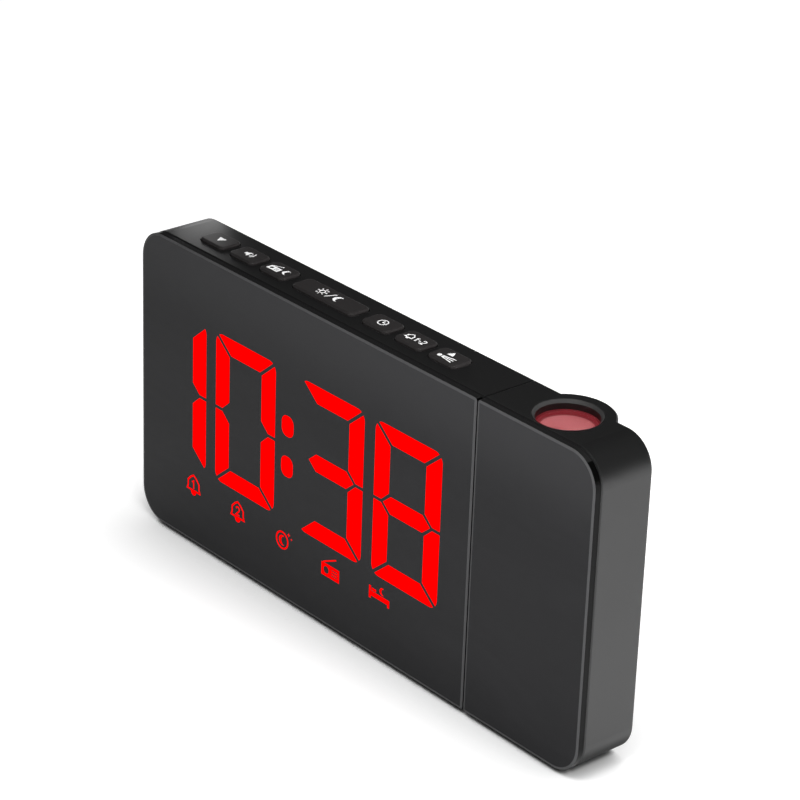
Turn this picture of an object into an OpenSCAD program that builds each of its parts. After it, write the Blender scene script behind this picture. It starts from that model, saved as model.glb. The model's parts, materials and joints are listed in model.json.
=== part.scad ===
// Projection alarm clock: a slim LED clock whose right end is a swing arm with a projector in it.
// The origin is on the table under the middle of the clock. +X is to the right as one faces the
// display, +Y points to the back and +Z up. A "depth" is measured back from the front face.

/* [Body] */
// Width of the whole clock, swing arm included
body_w = 185; // [175:1:225]
// Height of the body above its feet
body_h = 90; // [82:1:110]
// Depth of the body without the projector's bulge
body_d = 19.6; // [19.5:0.1:24]
// Radius of the four outer corners, seen from the front
corner_r = 9; // [8:0.5:12]
// Thickness of the case walls
wall = 2; // [1.6:0.1:2.2]
// Radius of the rounded back edges
back_edge_r = 0.8; // [0.4:0.1:0.9]
// Chamfer on the front edge of the cases
case_chamfer = 0.35; // [0.2:0.05:0.5]
// Height of the rubber feet
foot_h = 1.2; // [1.2:0.1:4]

/* [Front windows] */
// Thickness of the smoked windows
window_t = 1.9; // [1.5:0.1:2.2]
// Width of the shallow bevel round a window, seen from the front
bevel_w = 0.7; // [0.4:0.1:0.9]
// Depth of that bevel
bevel_t = 0.2; // [0.1:0.05:0.4]
// Width of the groove between a window and its case
groove_w = 0.5; // [0.3:0.1:0.8]
// Depth of that groove
groove_depth = 0.7; // [0.4:0.1:1]
// Thickness of the frame plate behind a window
frame_t = 1.2; // [1:0.1:1.5]

/* [Display] */
// Middle of the display, from the left end of the body
display_x = 66.8; // [66.8:0.1:68]
// Height of the middle of the digits above that of the body
digit_rise = 2.1; // [1:0.1:4]
// Width of a digit
digit_w = 26.6; // [22:0.2:26.6]
// Height of a digit
digit_h = 45.4; // [40:0.2:47]
// Distance between the two digits of a pair
digit_pitch = 31.1; // [28.5:0.1:31.1]
// Distance from the colon to the digits beside it
colon_gap = 18.8; // [17:0.1:18.8]
// Width of an upright segment
upright_w = 6.1; // [4:0.1:7]
// Thickness of a level segment
level_t = 5.1; // [3.5:0.1:6]
// Gap between two segments
segment_gap = 1; // [0.5:0.1:1.2]
// Height of the indicators above the bottom of the body
icon_z = 18.2; // [18:0.1:19.5]
// Distance between two indicators
icon_pitch = 20.6; // [15:0.1:21]

/* [Keys] */
// Middle of the snooze key, from the left end of the body
snooze_x = 71.4; // [70:0.1:73]
// Width of the snooze key
snooze_w = 25.6; // [20:0.1:27.5]
// Width of a small key
key_w = 10.8; // [9:0.1:11.4]
// Size of the keys from front to back
key_d = 7.2; // [6:0.1:8]
// Distance between two small keys
key_pitch = 13.3; // [12.9:0.1:13.6]
// Distance from the snooze key to the small key beside it
snooze_gap = 21.8; // [21.4:0.1:23]
// How far the keys stand above the top
key_proud = 0.8; // [0.6:0.1:1.2]
// Travel of the keys
key_travel = 0.5; // [0.3:0.05:0.6]

/* [Swing arm] */
// Width of the swing arm
arm_w = 43.1; // [42:0.1:50]
// Gap between the body and the arm
seam_gap = 0.4; // [0.4:0.1:0.8]
// Outer radius of the hollow pivot
hub_r = 5; // [4.5:0.1:5.5]
// Radial play of the pivot in its bearing
hub_play = 0.08; // [0.04:0.01:0.1]

/* [Projector] */
// How far the barrel stands out behind the body
bulge = 5.1; // [5:0.1:7]
// Outer radius of the barrel
barrel_r = 12.4; // [12.2:0.1:12.5]
// Height of the barrel
barrel_h = 50; // [48:1:56]
// Middle of the lens, from the right end of the arm
lens_x = 23.3; // [21.5:0.1:24]
// Outer radius of the focus ring
ring_r = 9.2; // [9:0.1:9.3]
// Radial play between sliding and turning tubes
ring_play = 0.1; // [0.05:0.01:0.1]
// Depth of the tinted window below the top
lens_recess = 2.5; // [2:0.1:3]
// Radius of the projection lens
lens_r = 7.1; // [6.7:0.1:7.1]

/* [Back] */
// Middle of the speaker, from the left end of the body
speaker_x = 30; // [25:1:34]
// Radius of the speaker
speaker_r = 14; // [12:0.5:15]
// Middle of the battery bay, from the left end of the body
bay_x = 100; // [96:1:104]
// Radius of the coin cell
cell_r = 10; // [8:0.5:10]
// Thickness of the coin cell
cell_t = 3.2; // [2.5:0.1:3.2]
// Middle of the USB socket, from the left end of the body
usb_x = 62; // [50:1:70]
// Middle of the power inlet, from the left end of the body
inlet_x = 88; // [80:1:96]

/* [Hidden] */
$fn = 48;
over = 1;                                   // how far a cut runs past a face
skim = 0.1;                                 // how far a chamfer's cut runs past its edge
x_left = -body_w / 2;
x_right = body_w / 2;
x_arm = x_right - arm_w;                    // the arm's face at the seam
x_seam = x_arm - seam_gap;                  // the body's face at the seam
y_front = -(body_d + bulge) / 2;
z_base = foot_h;
z_top = foot_h + body_h;
pivot_y = y_front + body_d / 2;
pivot_z = foot_h + body_h / 2;
seam_r = bevel_w + skim + 0.05;             // a window's corner radius beside the seam
case_seam_r = 0.3;                          // the same of a case
fit = 0.15;                                 // play between a plug-in part and its case

// A plan is [x0, x1, y0, y1, radius at x0, radius at x1].
function shrink(plan, by) = [
    plan[0] + by, plan[1] - by, plan[2] + by, plan[3] - by,
    max(plan[4] - by, 0.2), max(plan[5] - by, 0.2)
];
function centred(x, y, w, h, r) = [x - w / 2, x + w / 2, y - h / 2, y + h / 2, r, r];
body_plan = [x_left, x_seam, z_base, z_top, corner_r, seam_r];
arm_plan = [x_arm, x_right, z_base, z_top, seam_r, corner_r];
body_case_plan = [x_left, x_seam, z_base, z_top, corner_r, case_seam_r];
arm_case_plan = [x_arm, x_right, z_base, z_top, case_seam_r, corner_r];
past_seam = corner_r + over;                // the cases' rounded edges run straight past the seam
body_edges = [x_left, x_seam + past_seam, z_base, z_top, corner_r, corner_r];
arm_edges = [x_arm - past_seam, x_right, z_base, z_top, corner_r, corner_r];

// Depths of the layers behind the front face
lip_end = window_t + groove_w;              // where the case begins
plate_end = lip_end + frame_t;              // back of the frame plate
skirt_t = 0.75;
film_t = 0.2;
housing_front = window_t + film_t;
housing_t = 7;
board_front = housing_front + housing_t;
board_t = 1.2;
board_back = board_front + board_t;
bar_t = 2.5;                                // thickness of a diffuser bar
inner_back = body_d - wall;                 // inside of the back wall

// Display
dx = x_left + display_x;
dz = pivot_z + digit_rise;
icons_z = z_base + icon_z;
icon_shift = -1;
icon_w = 8.6;
icon_h = 7.4;
icon_count = 5;
colon_w = 5.1;
colon_h = 6.2;
colon_r = 2.2;
colon_rise = 6.1;
digit_r = 3;
hw = digit_w / 2;
hh = digit_h / 2;
mitre_x = segment_gap * 0.8;
mitre_y = mitre_x * level_t / upright_w;
SIDES = [-1, 1];
digit_xs = [
    dx - colon_gap - digit_pitch, dx - colon_gap,
    dx + colon_gap, dx + colon_gap + digit_pitch
];
housing_wall = 0.6;
housing_plan = [
    digit_xs[0] - hw - housing_wall, digit_xs[3] + hw + 3.3,
    icons_z - icon_h / 2 - 0.7, dz + hh + 3.2, 1, 1
];
opening_plan = shrink(housing_plan, -0.1);
film_plan = shrink(opening_plan, 0.05);
board_plan = shrink(housing_plan, 0.3);

// Keys: [middle, width] of each
snooze_at = x_left + snooze_x;
small_offsets = [snooze_gap, snooze_gap + key_pitch, snooze_gap + 2 * key_pitch];
key_y = y_front + 10.1;
key_r = 1.8;
key_play = 0.25;
key_round = 0.6;
flange_rim = 0.9;
flange_t = 0.8;
skirt_end = key_y - y_front - key_d / 2 - flange_rim - 0.4;   // the skirts stop short of the keys
stem = 3;
stem_h = 0.8;
switch_h = 3.5;
switch_w = 6;
switch_button_r = 1.6;
switch_button_h = 1;
under_top = z_top - wall;                   // inside of the top wall
stem_foot = under_top - flange_t - stem_h;
button_top = stem_foot - key_travel - 0.02;
key_board_top = button_top - switch_button_h - switch_h;
key_board_t = 1.2;
key_board_rim = 2.5;
key_board_hw = small_offsets[2] + key_w / 2 + key_board_rim;
key_board_plan = [
    snooze_at - key_board_hw, snooze_at + key_board_hw,
    y_front + plate_end + skirt_t + 0.6, y_front + inner_back - 0.3, 0.5, 0.5
];
shelf_t = 1.2;
shelf_d = 2.4;

// Screws and their posts
post_r = 3;
post_inset = 8;
screw_r = 1.1;
screw_head_r = 2.2;
screw_head_t = 1.3;
screw_l = 9;
head_sink = 0.3;
post_end = 9.5;                             // depth at which frame posts and case bosses meet
body_screws = [
    [x_left + post_inset, z_base + post_inset], [x_left + post_inset, z_top - post_inset],
    [x_seam - post_inset, z_base + post_inset], [x_seam - post_inset, z_top - post_inset]
];
arm_post_inset = 6.5;
arm_screws_at = [
    [x_right - arm_post_inset, z_base + post_inset], [x_right - arm_post_inset, z_top - post_inset],
    [x_arm + arm_post_inset, z_base + post_inset]
];

// Pivot: distances to the left of the seam are taken from the body's outer face
bearing_l = wall + 2;
boss_r = 7.3;
glide_r = 7;
glide_t = seam_gap - 0.1;
spring_t = 1;
clip_t = 0.8;
clip_groove = 0.7;
hub_wall = 1.8;
hub_tail = 0.7;
hub_end = x_seam - bearing_l - spring_t - clip_t - hub_tail;
clip_x = x_seam - bearing_l - spring_t - clip_t;
hub_flange_t = 2;
hub_flange_d = 12;
hub_flange_h = 28;
hub_screw_rise = 10.5;
bearing_clear_h = 20;                       // opening in the frame skirts round the pivot
loom_r = 2;

// Projector
ring_x = x_right - lens_x;
ring_depth = body_d + bulge - barrel_r;
ring_y = y_front + ring_depth;
barrel_wall = 1.5;
ring_wall = 0.95;
ring_chamfer = 0.8;
shoulder = 0.4;
ring_l = 12;
window_disc_t = 0.8;
ledge = 0.4;
focus_travel = 0.75;                        // of the lens, each way
focus_half_turn = 75;                       // of the ring, each way, in degrees
lens_gap = focus_travel + 0.1;              // from the tinted window to the lens
lens_rim_t = 1.2;
lens_dome = 1.8;
cell_wall = 0.6;
cell_l = 6.9;
peg_r = 0.7;
peg_drop = 4;
peg_out = 0.5;
peg_play = 0.08;
neck_wall = 1;
tube_r = 8.4;
tube_wall = 1.2;
tube_l = 31;
ring_top_bore = ring_r - ring_wall;
ring_bore = ring_top_bore - ledge;
cell_out = ring_bore - ring_play;
cell_in = lens_r - cell_wall;
lens_top = z_top - lens_recess - window_disc_t - lens_gap;
ring_foot = z_top - ring_l;
neck_r = cell_in - ring_play;
neck_top = lens_top - 3;
neck_key_w = 1.6;
neck_key_out = 0.4;
collar_top = ring_foot - ring_play;
collar_t = 1.8;
tube_top = collar_top - collar_t;
tube_foot = tube_top - tube_l;
slide_w = 13;
slide_t = 1.8;
slide_z = tube_top - 19;
condenser_r = 6.5;
condenser_t = 3.6;
condenser_z = slide_z - 5;
led_r = 2.5;
led_board_r = 9;
led_tab_l = 2;
led_tab_w = 6;
loom_plug_w = 2.4;
loom_plug_h = 4;
led_board_t = 1.2;
saddle_t = 1.5;
saddle_w = 26;
saddles_z = [tube_top - 6, tube_top - 25];

// Back
speaker_at = x_left + speaker_x;
speaker_z = z_base + 45;
speaker_ring = 1.2;
slot_w = 1.5;
slot_pitch = 3;
rib_gap = 26;
rib_t = 1.2;
bay_at = x_left + bay_x;
bay_z = z_base + 44;
door_t = 1.4;
door_w = 30;
door_h = 27;
door_play = 0.2;
bay_wall = 1.2;
bay_depth = cell_t + 0.8;
bay_front = body_d - door_t - bay_depth;    // depth of the bay's floor
contact_t = 0.3;
port_z = z_base + wall + 1.2;               // underside of the port board
port_board_t = 1.2;
usb_w = 13.1;
usb_h = 5.7;
usb_l = 13.4;
usb_skin = 0.35;
inlet_r = 4;
inlet_hole_r = 2.85;
inlet_pin_r = 1;
inlet_l = 11.5;
port_play = 0.15;
port_top = port_z + port_board_t;
usb_z = port_top + usb_h / 2;
inlet_z = port_top + inlet_r;
port_plan = [
    x_left + usb_x - 14, x_left + inlet_x + 9,
    y_front + plate_end + 1.5, y_front + inner_back - 0.5, 1, 1
];
grommet_x = x_left + 20;
grommet_z = z_base + 9;
grommet_r = 2.6;
foot_w = 16;
foot_d = 12;
foot_r = 3;
foot_edge_r = 0.5;
foot_xs = [x_left + corner_r + 9, x_seam - corner_r - 6];

// ---- Outlines and edges ----

// A rectangle with its own corner radius at each end
module rounded(plan) {
    x0 = plan[0];
    x1 = plan[1];
    y0 = plan[2];
    y1 = plan[3];
    r0 = plan[4];
    r1 = plan[5];
    translate([x0 + r0, y0]) square([x1 - r1 - x0 - r0, y1 - y0]);
    translate([x0, y0 + r0]) square([r0, y1 - y0 - 2 * r0]);
    translate([x1 - r1, y0 + r1]) square([r1, y1 - y0 - 2 * r1]);
    for (y = [y0 + r0, y1 - r0]) translate([x0 + r0, y]) circle(r0);
    for (y = [y0 + r1, y1 - r1]) translate([x1 - r1, y]) circle(r1);
}

// Carries a profile round a plan's edge: the profile's x runs outward and its y becomes z
module carry_round(plan) {
    x0 = plan[0];
    x1 = plan[1];
    y0 = plan[2];
    y1 = plan[3];
    r0 = plan[4];
    r1 = plan[5];
    level = x1 - r1 - x0 - r0;
    sides = [
        [(x0 + r0 + x1 - r1) / 2, y0, -90, level], [(x0 + r0 + x1 - r1) / 2, y1, 90, level],
        [x0, (y0 + y1) / 2, 180, y1 - y0 - 2 * r0], [x1, (y0 + y1) / 2, 0, y1 - y0 - 2 * r1]
    ];
    corners = [
        [x0 + r0, y0 + r0, 180, r0], [x1 - r1, y0 + r1, 270, r1],
        [x1 - r1, y1 - r1, 0, r1], [x0 + r0, y1 - r0, 90, r0]
    ];
    for (s = sides)
        translate([s[0], s[1], 0]) rotate([0, 0, s[2]]) rotate([90, 0, 0])
            linear_extrude(s[3], center = true) children();
    for (c = corners)
        translate([c[0], c[1], 0]) rotate([0, 0, c[2]])
            rotate_extrude(angle = 90) translate([c[3], 0]) children();
}

// What a bevel of this width and depth takes off an edge that faces down the profile's y
module bevel_profile(w, t) {
    past = skim * t / w;
    polygon([[-w - skim, -past], [skim, -past], [skim, t + past]]);
}

// What a fillet takes off an edge that faces up the profile's y
module fillet_profile(r) {
    difference() {
        translate([-r, -r]) square(r + over);
        translate([-r, -r]) circle(r);
    }
}

// Stands a drawing of the front view up at a depth: its z then runs back
module at_depth(d) {
    translate([0, y_front + d, 0]) mirror([0, 1, -1]) children();
}

module slab(plan, d0, d1) {
    at_depth(d0) linear_extrude(d1 - d0) rounded(plan);
}

module disc(x, z, r, d0, d1) {
    at_depth(d0) translate([x, z, 0]) cylinder(h = d1 - d0, r = r);
}

// ---- Front and case parts, shared by body and arm ----

module window_panel(plan) {
    difference() {
        slab(plan, 0, window_t);
        at_depth(0) carry_round(plan) bevel_profile(bevel_w, bevel_t);
    }
}

// Lip seen in the groove, plate, skirt that plugs into the case, and the screw posts
module frame_panel(plan, posts, hole) {
    inside = shrink(plan, wall + fit);
    difference() {
        union() {
            slab(shrink(plan, groove_depth), window_t, lip_end);
            slab(inside, lip_end, plate_end);
            slab(inside, plate_end, skirt_end);
        }
        slab(shrink(inside, skirt_t), plate_end, skirt_end + over);
        slab(hole, -over, skirt_end + over);
    }
    for (p = posts)
        difference() {
            disc(p[0], p[1], post_r, plate_end, post_end);
            disc(p[0], p[1], screw_r - 0.2, plate_end + 1, post_end + over);
        }
}

// Block of a case with a chamfered front edge and rounded back edges; it is square at the seam
module case_block(plan, edges) {
    difference() {
        slab(plan, lip_end, body_d);
        at_depth(lip_end) carry_round(edges) bevel_profile(case_chamfer, case_chamfer);
        at_depth(body_d) carry_round(edges) fillet_profile(back_edge_r);
    }
}

module case_inside(plan) {
    slab(shrink(plan, wall), lip_end - over, inner_back);
}

module case_boss(p) {
    disc(p[0], p[1], post_r, post_end, inner_back + 0.1);
}

module screw_way(p) {
    disc(p[0], p[1], screw_r + 0.2, post_end - over, body_d + over);
    disc(p[0], p[1], screw_head_r + 0.2, body_d - screw_head_t - head_sink, body_d + over);
}

// A pan-head screw put in from the back
module case_screw(p) {
    head_end = body_d - head_sink;
    difference() {
        union() {
            disc(p[0], p[1], screw_r - 0.2, head_end - screw_head_t - screw_l, head_end);
            disc(p[0], p[1], screw_head_r, head_end - screw_head_t, head_end);
        }
        for (w = [[2.6, 0.6], [0.6, 2.6]])
            slab(centred(p[0], p[1], w[0], w[1], 0.1), head_end - 0.7, head_end + over);
    }
}

// ---- Seven-segment display ----

module level_segment() {
    polygon([
        [-hw + mitre_x, hh], [hw - mitre_x, hh],
        [hw - upright_w - mitre_x, hh - level_t], [-hw + upright_w + mitre_x, hh - level_t]
    ]);
}

module upright_segment() {
    polygon([
        [hw, segment_gap / 2], [hw, hh - mitre_y],
        [hw - upright_w, hh - level_t - mitre_y], [hw - upright_w, level_t / 2 + mitre_y],
        [hw - upright_w / 2, segment_gap / 2]
    ]);
}

module middle_segment() {
    tip = hw - upright_w / 2 - mitre_x;
    shoulder_x = hw - upright_w - mitre_x;
    polygon([
        [tip, 0], [shoulder_x, level_t / 2], [-shoulder_x, level_t / 2],
        [-tip, 0], [-shoulder_x, -level_t / 2], [shoulder_x, -level_t / 2]
    ]);
}

// The seven segments of one digit, with the digit's outer corners rounded
module digit_segments() {
    intersection() {
        rounded(centred(0, 0, digit_w, digit_h, digit_r));
        union() {
            for (s = [0, 1]) mirror([0, s]) level_segment();
            for (s = [0, 1], t = [0, 1]) mirror([s, 0]) mirror([0, t]) upright_segment();
            middle_segment();
        }
    }
}

module digit_at(i) {
    translate([digit_xs[i], dz]) digit_segments();
}

module colon_shape() {
    for (s = SIDES) rounded(centred(dx, dz + s * colon_rise, colon_w, colon_h, colon_r));
}

module icons_shape() {
    for (i = [0:icon_count - 1])
        rounded(centred(dx + icon_shift + (i - 2) * icon_pitch, icons_z, icon_w, icon_h, 0.8));
}

module all_lights() {
    for (i = [0:3]) digit_at(i);
    colon_shape();
    icons_shape();
}

module digit_bars(i) {
    color("red") at_depth(housing_front) linear_extrude(bar_t) digit_at(i);
}

// Two light-emitting diodes under a segment: [x, z, level or upright]
led_w = 1.6;
led_l = 3.2;
led_t = 0.8;
led_rise = hh / 2 - level_t / 8;
level_leds = [for (z = [-hh + level_t / 2, 0, hh - level_t / 2], s = SIDES) [s * hw / 4, z, 1]];
upright_leds = [
    for (x = SIDES, z = SIDES, s = SIDES) [x * (hw - upright_w / 2), z * led_rise + s * hh / 6, 0]
];

module led_chip(x, z, level) {
    w = level ? led_l : led_w;
    h = level ? led_w : led_l;
    slab(centred(x, z, w, h, 0.2), board_front - led_t, board_front);
}

module window() {
    color([0.05, 0.05, 0.055]) window_panel(body_plan);
}

module mask_film() {
    color([0.02, 0.02, 0.02]) at_depth(window_t) linear_extrude(film_t) difference() {
        rounded(film_plan);
        all_lights();
    }
}

module front_frame() {
    ledge_plan = [
        key_board_plan[0] + 2, key_board_plan[1] - 2,
        key_board_top - key_board_t - shelf_t, key_board_top - key_board_t, 0.2, 0.2
    ];
    color([0.07, 0.07, 0.07]) difference() {
        union() {
            frame_panel(body_plan, body_screws, opening_plan);
            slab(ledge_plan, plate_end - 0.1, key_board_plan[2] - y_front + shelf_d);
        }
        // Opening round the pivot
        slab([hub_end - 0.5, x_seam + over,
              pivot_z - bearing_clear_h / 2, pivot_z + bearing_clear_h / 2, 0.2, 0.2],
             lip_end, skirt_end + over);
    }
}

// Block of light wells; its flanges above and below lie behind the frame plate
module display_housing() {
    flange = 1.6;
    flange_plan = [
        housing_plan[0], housing_plan[1], housing_plan[2] - flange, housing_plan[3] + flange, 1, 1
    ];
    color([0.1, 0.1, 0.1]) difference() {
        union() {
            slab(housing_plan, housing_front, board_front);
            slab(flange_plan, plate_end, plate_end + 1.2);
        }
        at_depth(housing_front - over) linear_extrude(housing_t + 2 * over) all_lights();
    }
}

module hour_tens_segments() { digit_bars(0); }
module hour_units_segments() { digit_bars(1); }
module minute_tens_segments() { digit_bars(2); }
module minute_units_segments() { digit_bars(3); }

module colon_dots() {
    color("red") at_depth(housing_front) linear_extrude(bar_t) colon_shape();
}

module icon_bars() {
    color("red") at_depth(housing_front) linear_extrude(bar_t) icons_shape();
}

module display_board() {
    color([0.05, 0.3, 0.15]) slab(board_plan, board_front, board_back);
}

module display_leds() {
    color([0.95, 0.9, 0.75]) {
        for (x = digit_xs, l = concat(level_leds, upright_leds)) led_chip(x + l[0], dz + l[1], l[2] == 1);
        for (s = SIDES) led_chip(dx, dz + s * colon_rise, true);
        for (i = [0:icon_count - 1]) led_chip(dx + icon_shift + (i - 2) * icon_pitch, icons_z, true);
    }
}

// ---- Electronics on the back of the display board ----

// A flat chip with a row of legs on its left and right sides
module chip(x, z, w, h, legs) {
    leg_pitch = 1.27;
    slab(centred(x, z, w, h, 0.3), board_back + 0.2, board_back + 1.8);
    for (s = SIDES, i = [0:legs - 1])
        slab(centred(x + s * (w / 2 + 0.4), z + (i - (legs - 1) / 2) * leg_pitch, 1.2, 0.45, 0.1),
             board_back, board_back + 0.8);
}

chips_x = (speaker_at + bay_at) / 2;
module control_chips() {
    color([0.12, 0.12, 0.12]) {
        chip(chips_x, bay_z + 12, 10, 12.5, 8);
        chip(chips_x - 2, bay_z - 7, 5, 6.5, 4);
        chip(chips_x + 12, bay_z + 18, 5, 6.5, 4);
    }
}

module capacitors() {
    color("silver") for (p = [[-8, -10], [-14, 20], [10, -10]])
        disc(chips_x + p[0], bay_z + p[1], 2, board_back, board_back + 5);
}

module crystal() {
    color("silver") slab(centred(chips_x, bay_z + 24, 6, 2.4, 1.1), board_back, board_back + 2.2);
}

// ---- Keys ----

module key_cap(x, w) {
    plan = centred(x, key_y, w, key_d, key_r);
    color([0.15, 0.14, 0.14]) {
        difference() {
            translate([0, 0, under_top]) linear_extrude(wall + key_proud) rounded(plan);
            translate([0, 0, z_top + key_proud]) carry_round(plan) fillet_profile(key_round);
        }
        translate([0, 0, under_top - flange_t])
            linear_extrude(flange_t) rounded(shrink(plan, -flange_rim));
        translate([0, 0, stem_foot]) linear_extrude(stem_h) rounded(centred(x, key_y, stem, stem, 0.5));
    }
}

module key_hole(x, w) {
    translate([0, 0, under_top - over])
        linear_extrude(wall + 2 * over) rounded(shrink(centred(x, key_y, w, key_d, key_r), -key_play));
}

key_xs = concat([for (i = [2:-1:0]) snooze_at - small_offsets[i]], [snooze_at],
                [for (i = [0:2]) snooze_at + small_offsets[i]]);
key_ws = [key_w, key_w, key_w, snooze_w, key_w, key_w, key_w];

module key_down() { key_cap(key_xs[0], key_ws[0]); }
module key_volume() { key_cap(key_xs[1], key_ws[1]); }
module key_radio() { key_cap(key_xs[2], key_ws[2]); }
module key_snooze() { key_cap(key_xs[3], key_ws[3]); }
module key_set() { key_cap(key_xs[4], key_ws[4]); }
module key_alarm() { key_cap(key_xs[5], key_ws[5]); }
module key_up() { key_cap(key_xs[6], key_ws[6]); }

module key_board() {
    color([0.05, 0.3, 0.15]) translate([0, 0, key_board_top - key_board_t])
        linear_extrude(key_board_t) rounded(key_board_plan);
}

module key_switches() {
    color([0.2, 0.2, 0.2]) for (x = key_xs) {
        translate([0, 0, key_board_top])
            linear_extrude(switch_h) rounded(centred(x, key_y, switch_w, switch_w, 0.4));
        translate([x, key_y, key_board_top + switch_h]) cylinder(h = switch_button_h, r = switch_button_r);
    }
}

// ---- Rear case ----

module speaker_slots() {
    rows = floor((speaker_r - 2) / slot_pitch);
    for (i = [-rows:rows]) {
        half = sqrt(pow(speaker_r - 1.5, 2) - pow(i * slot_pitch, 2));
        slab(centred(speaker_at, speaker_z + i * slot_pitch, 2 * half, slot_w, slot_w / 2 - 0.01),
             inner_back - over, body_d + over);
    }
}

module bay_box() {
    plan = centred(bay_at, bay_z, 2 * (cell_r + bay_wall) + 3, 2 * (cell_r + bay_wall) + 1, 2);
    slab(plan, bay_front - bay_wall, inner_back + 0.1);
}

module bay_hollow() {
    disc(bay_at, bay_z, cell_r + 0.3, bay_front, body_d + over);
    slab(centred(bay_at + cell_r, bay_z, 6, 8, 1), bay_front, body_d + over);
    slab(centred(bay_at, bay_z, door_w + 2 * door_play, door_h + 2 * door_play, 2),
         body_d - door_t, body_d + over);
}

module rear_case() {
    color([0.13, 0.13, 0.13]) difference() {
        union() {
            difference() {
                case_block(body_case_plan, body_edges);
                case_inside(body_case_plan);
                speaker_slots();
            }
            for (p = body_screws) case_boss(p);
            at_depth(inner_back - 3) translate([speaker_at, speaker_z, 0]) difference() {
                cylinder(h = 3.1, r = speaker_r + fit + speaker_ring);
                translate([0, 0, -over]) cylinder(h = 3 + 2 * over, r = speaker_r + fit);
            }
            bay_box();
            // Shelf under the rear edge of the key board
            slab([key_board_plan[0], key_board_plan[1], key_board_top - key_board_t - shelf_t,
                  key_board_top - key_board_t, 0.2, 0.2], inner_back - shelf_d, inner_back + 0.1);
            // Two ribs that carry the port board
            for (x = [port_plan[0] + 3, port_plan[1] - 3])
                slab([x - 1, x + 1, z_base + wall - 0.1, port_z, 0.2, 0.2],
                     skirt_end + 0.3, inner_back + 0.1);
            // Stiffening ribs between the speaker and the battery bay
            for (s = SIDES)
                slab(centred(chips_x + s * rib_gap / 2, pivot_z, rib_t, body_h * 0.6, 0.2),
                     inner_back - 1.8, inner_back + 0.1);
            // Boss round the pivot's bearing
            translate([x_seam - bearing_l, pivot_y, pivot_z])
                rotate([0, 90, 0]) cylinder(h = bearing_l - wall + 0.1, r = boss_r);
        }
        bay_hollow();
        for (i = [0:len(key_xs) - 1]) key_hole(key_xs[i], key_ws[i]);
        for (p = body_screws) screw_way(p);
        translate([x_seam - bearing_l - over, pivot_y, pivot_z])
            rotate([0, 90, 0]) cylinder(h = bearing_l + 2 * over, r = hub_r + hub_play);
        slab(centred(x_left + usb_x, usb_z, usb_w + 2 * port_play, usb_h + 2 * port_play, 0.6),
             inner_back - over, body_d + over);
        disc(x_left + inlet_x, inlet_z, inlet_r + port_play, inner_back - over, body_d + over);
        disc(grommet_x, grommet_z, grommet_r, inner_back - over, body_d + over);
    }
}

module battery_door() {
    color([0.14, 0.14, 0.14]) difference() {
        slab(centred(bay_at, bay_z, door_w, door_h, 2 - door_play), body_d - door_t, body_d);
        for (i = [-1:1])
            slab(centred(bay_at + door_w / 2 - 5 + i * 2.2, bay_z, 1, 9, 0.49), body_d - 0.5, body_d + over);
    }
}

module coin_cell() {
    color("silver") {
        disc(bay_at, bay_z, cell_r, bay_front + contact_t + 0.8, bay_front + contact_t + cell_t);
        disc(bay_at, bay_z, cell_r - 1.2, bay_front + contact_t, bay_front + contact_t + 0.8);
    }
}

module cell_contacts() {
    color("gold") {
        slab(centred(bay_at, bay_z, cell_r, 6, 1), bay_front, bay_front + contact_t);
        slab(centred(bay_at + cell_r + 1.4, bay_z, 1, 5, 0.2), bay_front, bay_front + cell_t - 0.2);
    }
}

// ---- Speaker ----

// Turns a profile about the speaker's axis: its x is the radius and its y runs back
module speaker_turn() {
    at_depth(0) translate([speaker_at, speaker_z, 0]) rotate_extrude() children();
}

magnet_r = speaker_r * 0.43;
magnet_t = 2;
basket_d = 5;
speaker_back = inner_back;
module speaker_frame() {
    f = speaker_back - basket_d;
    color("silver") speaker_turn() polygon([
        [0, f + 0.6], [magnet_r + 0.8, f + 0.6], [speaker_r - 2.2, speaker_back - 0.8],
        [speaker_r - 2.2, speaker_back], [speaker_r, speaker_back],
        [speaker_r, speaker_back - 1.4], [speaker_r - 1.6, speaker_back - 1.4],
        [magnet_r + 1.2, f], [0, f]
    ]);
}

module speaker_cone() {
    color([0.2, 0.2, 0.2]) speaker_turn() polygon([
        [0, speaker_back - 1.9], [3, speaker_back - 2.6], [speaker_r - 4, speaker_back - 0.9],
        [speaker_r - 2.2, speaker_back - 0.5], [speaker_r - 2.2, speaker_back - 0.2],
        [speaker_r - 4.4, speaker_back - 0.5], [3, speaker_back - 2.1], [0, speaker_back - 1.5]
    ]);
}

module speaker_magnet() {
    f = speaker_back - basket_d;
    color([0.3, 0.3, 0.32]) disc(speaker_at, speaker_z, magnet_r, f - magnet_t, f);
}

// ---- Ports ----

module port_board() {
    color([0.05, 0.3, 0.15]) translate([0, 0, port_z])
        linear_extrude(port_board_t) rounded(port_plan);
}

module usb_shell() {
    plan = centred(x_left + usb_x, usb_z, usb_w, usb_h, 0.5);
    color("silver") difference() {
        slab(plan, body_d - usb_l, body_d - 0.2);
        slab(shrink(plan, usb_skin), body_d - usb_l + 2.5, body_d + over);
    }
}

module usb_tongue() {
    color("white") slab([x_left + usb_x - 5.6, x_left + usb_x + 5.6, usb_z + 0.35, usb_z + 2.1, 0.2, 0.2],
                        body_d - usb_l + 2.5, body_d - 1.4);
}

module dc_jack() {
    inlet = x_left + inlet_x;
    front = body_d - inlet_l;
    color([0.1, 0.1, 0.1]) difference() {
        union() {
            slab([inlet - inlet_r - 0.6, inlet + inlet_r + 0.6, port_top, inlet_z + inlet_r + 0.4, 0.3, 0.3],
                 front, inner_back - 0.1);
            disc(inlet, inlet_z, inlet_r, front, body_d - 0.1);
        }
        disc(inlet, inlet_z, inlet_hole_r, front + 1.8, body_d + over);
    }
}

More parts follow.
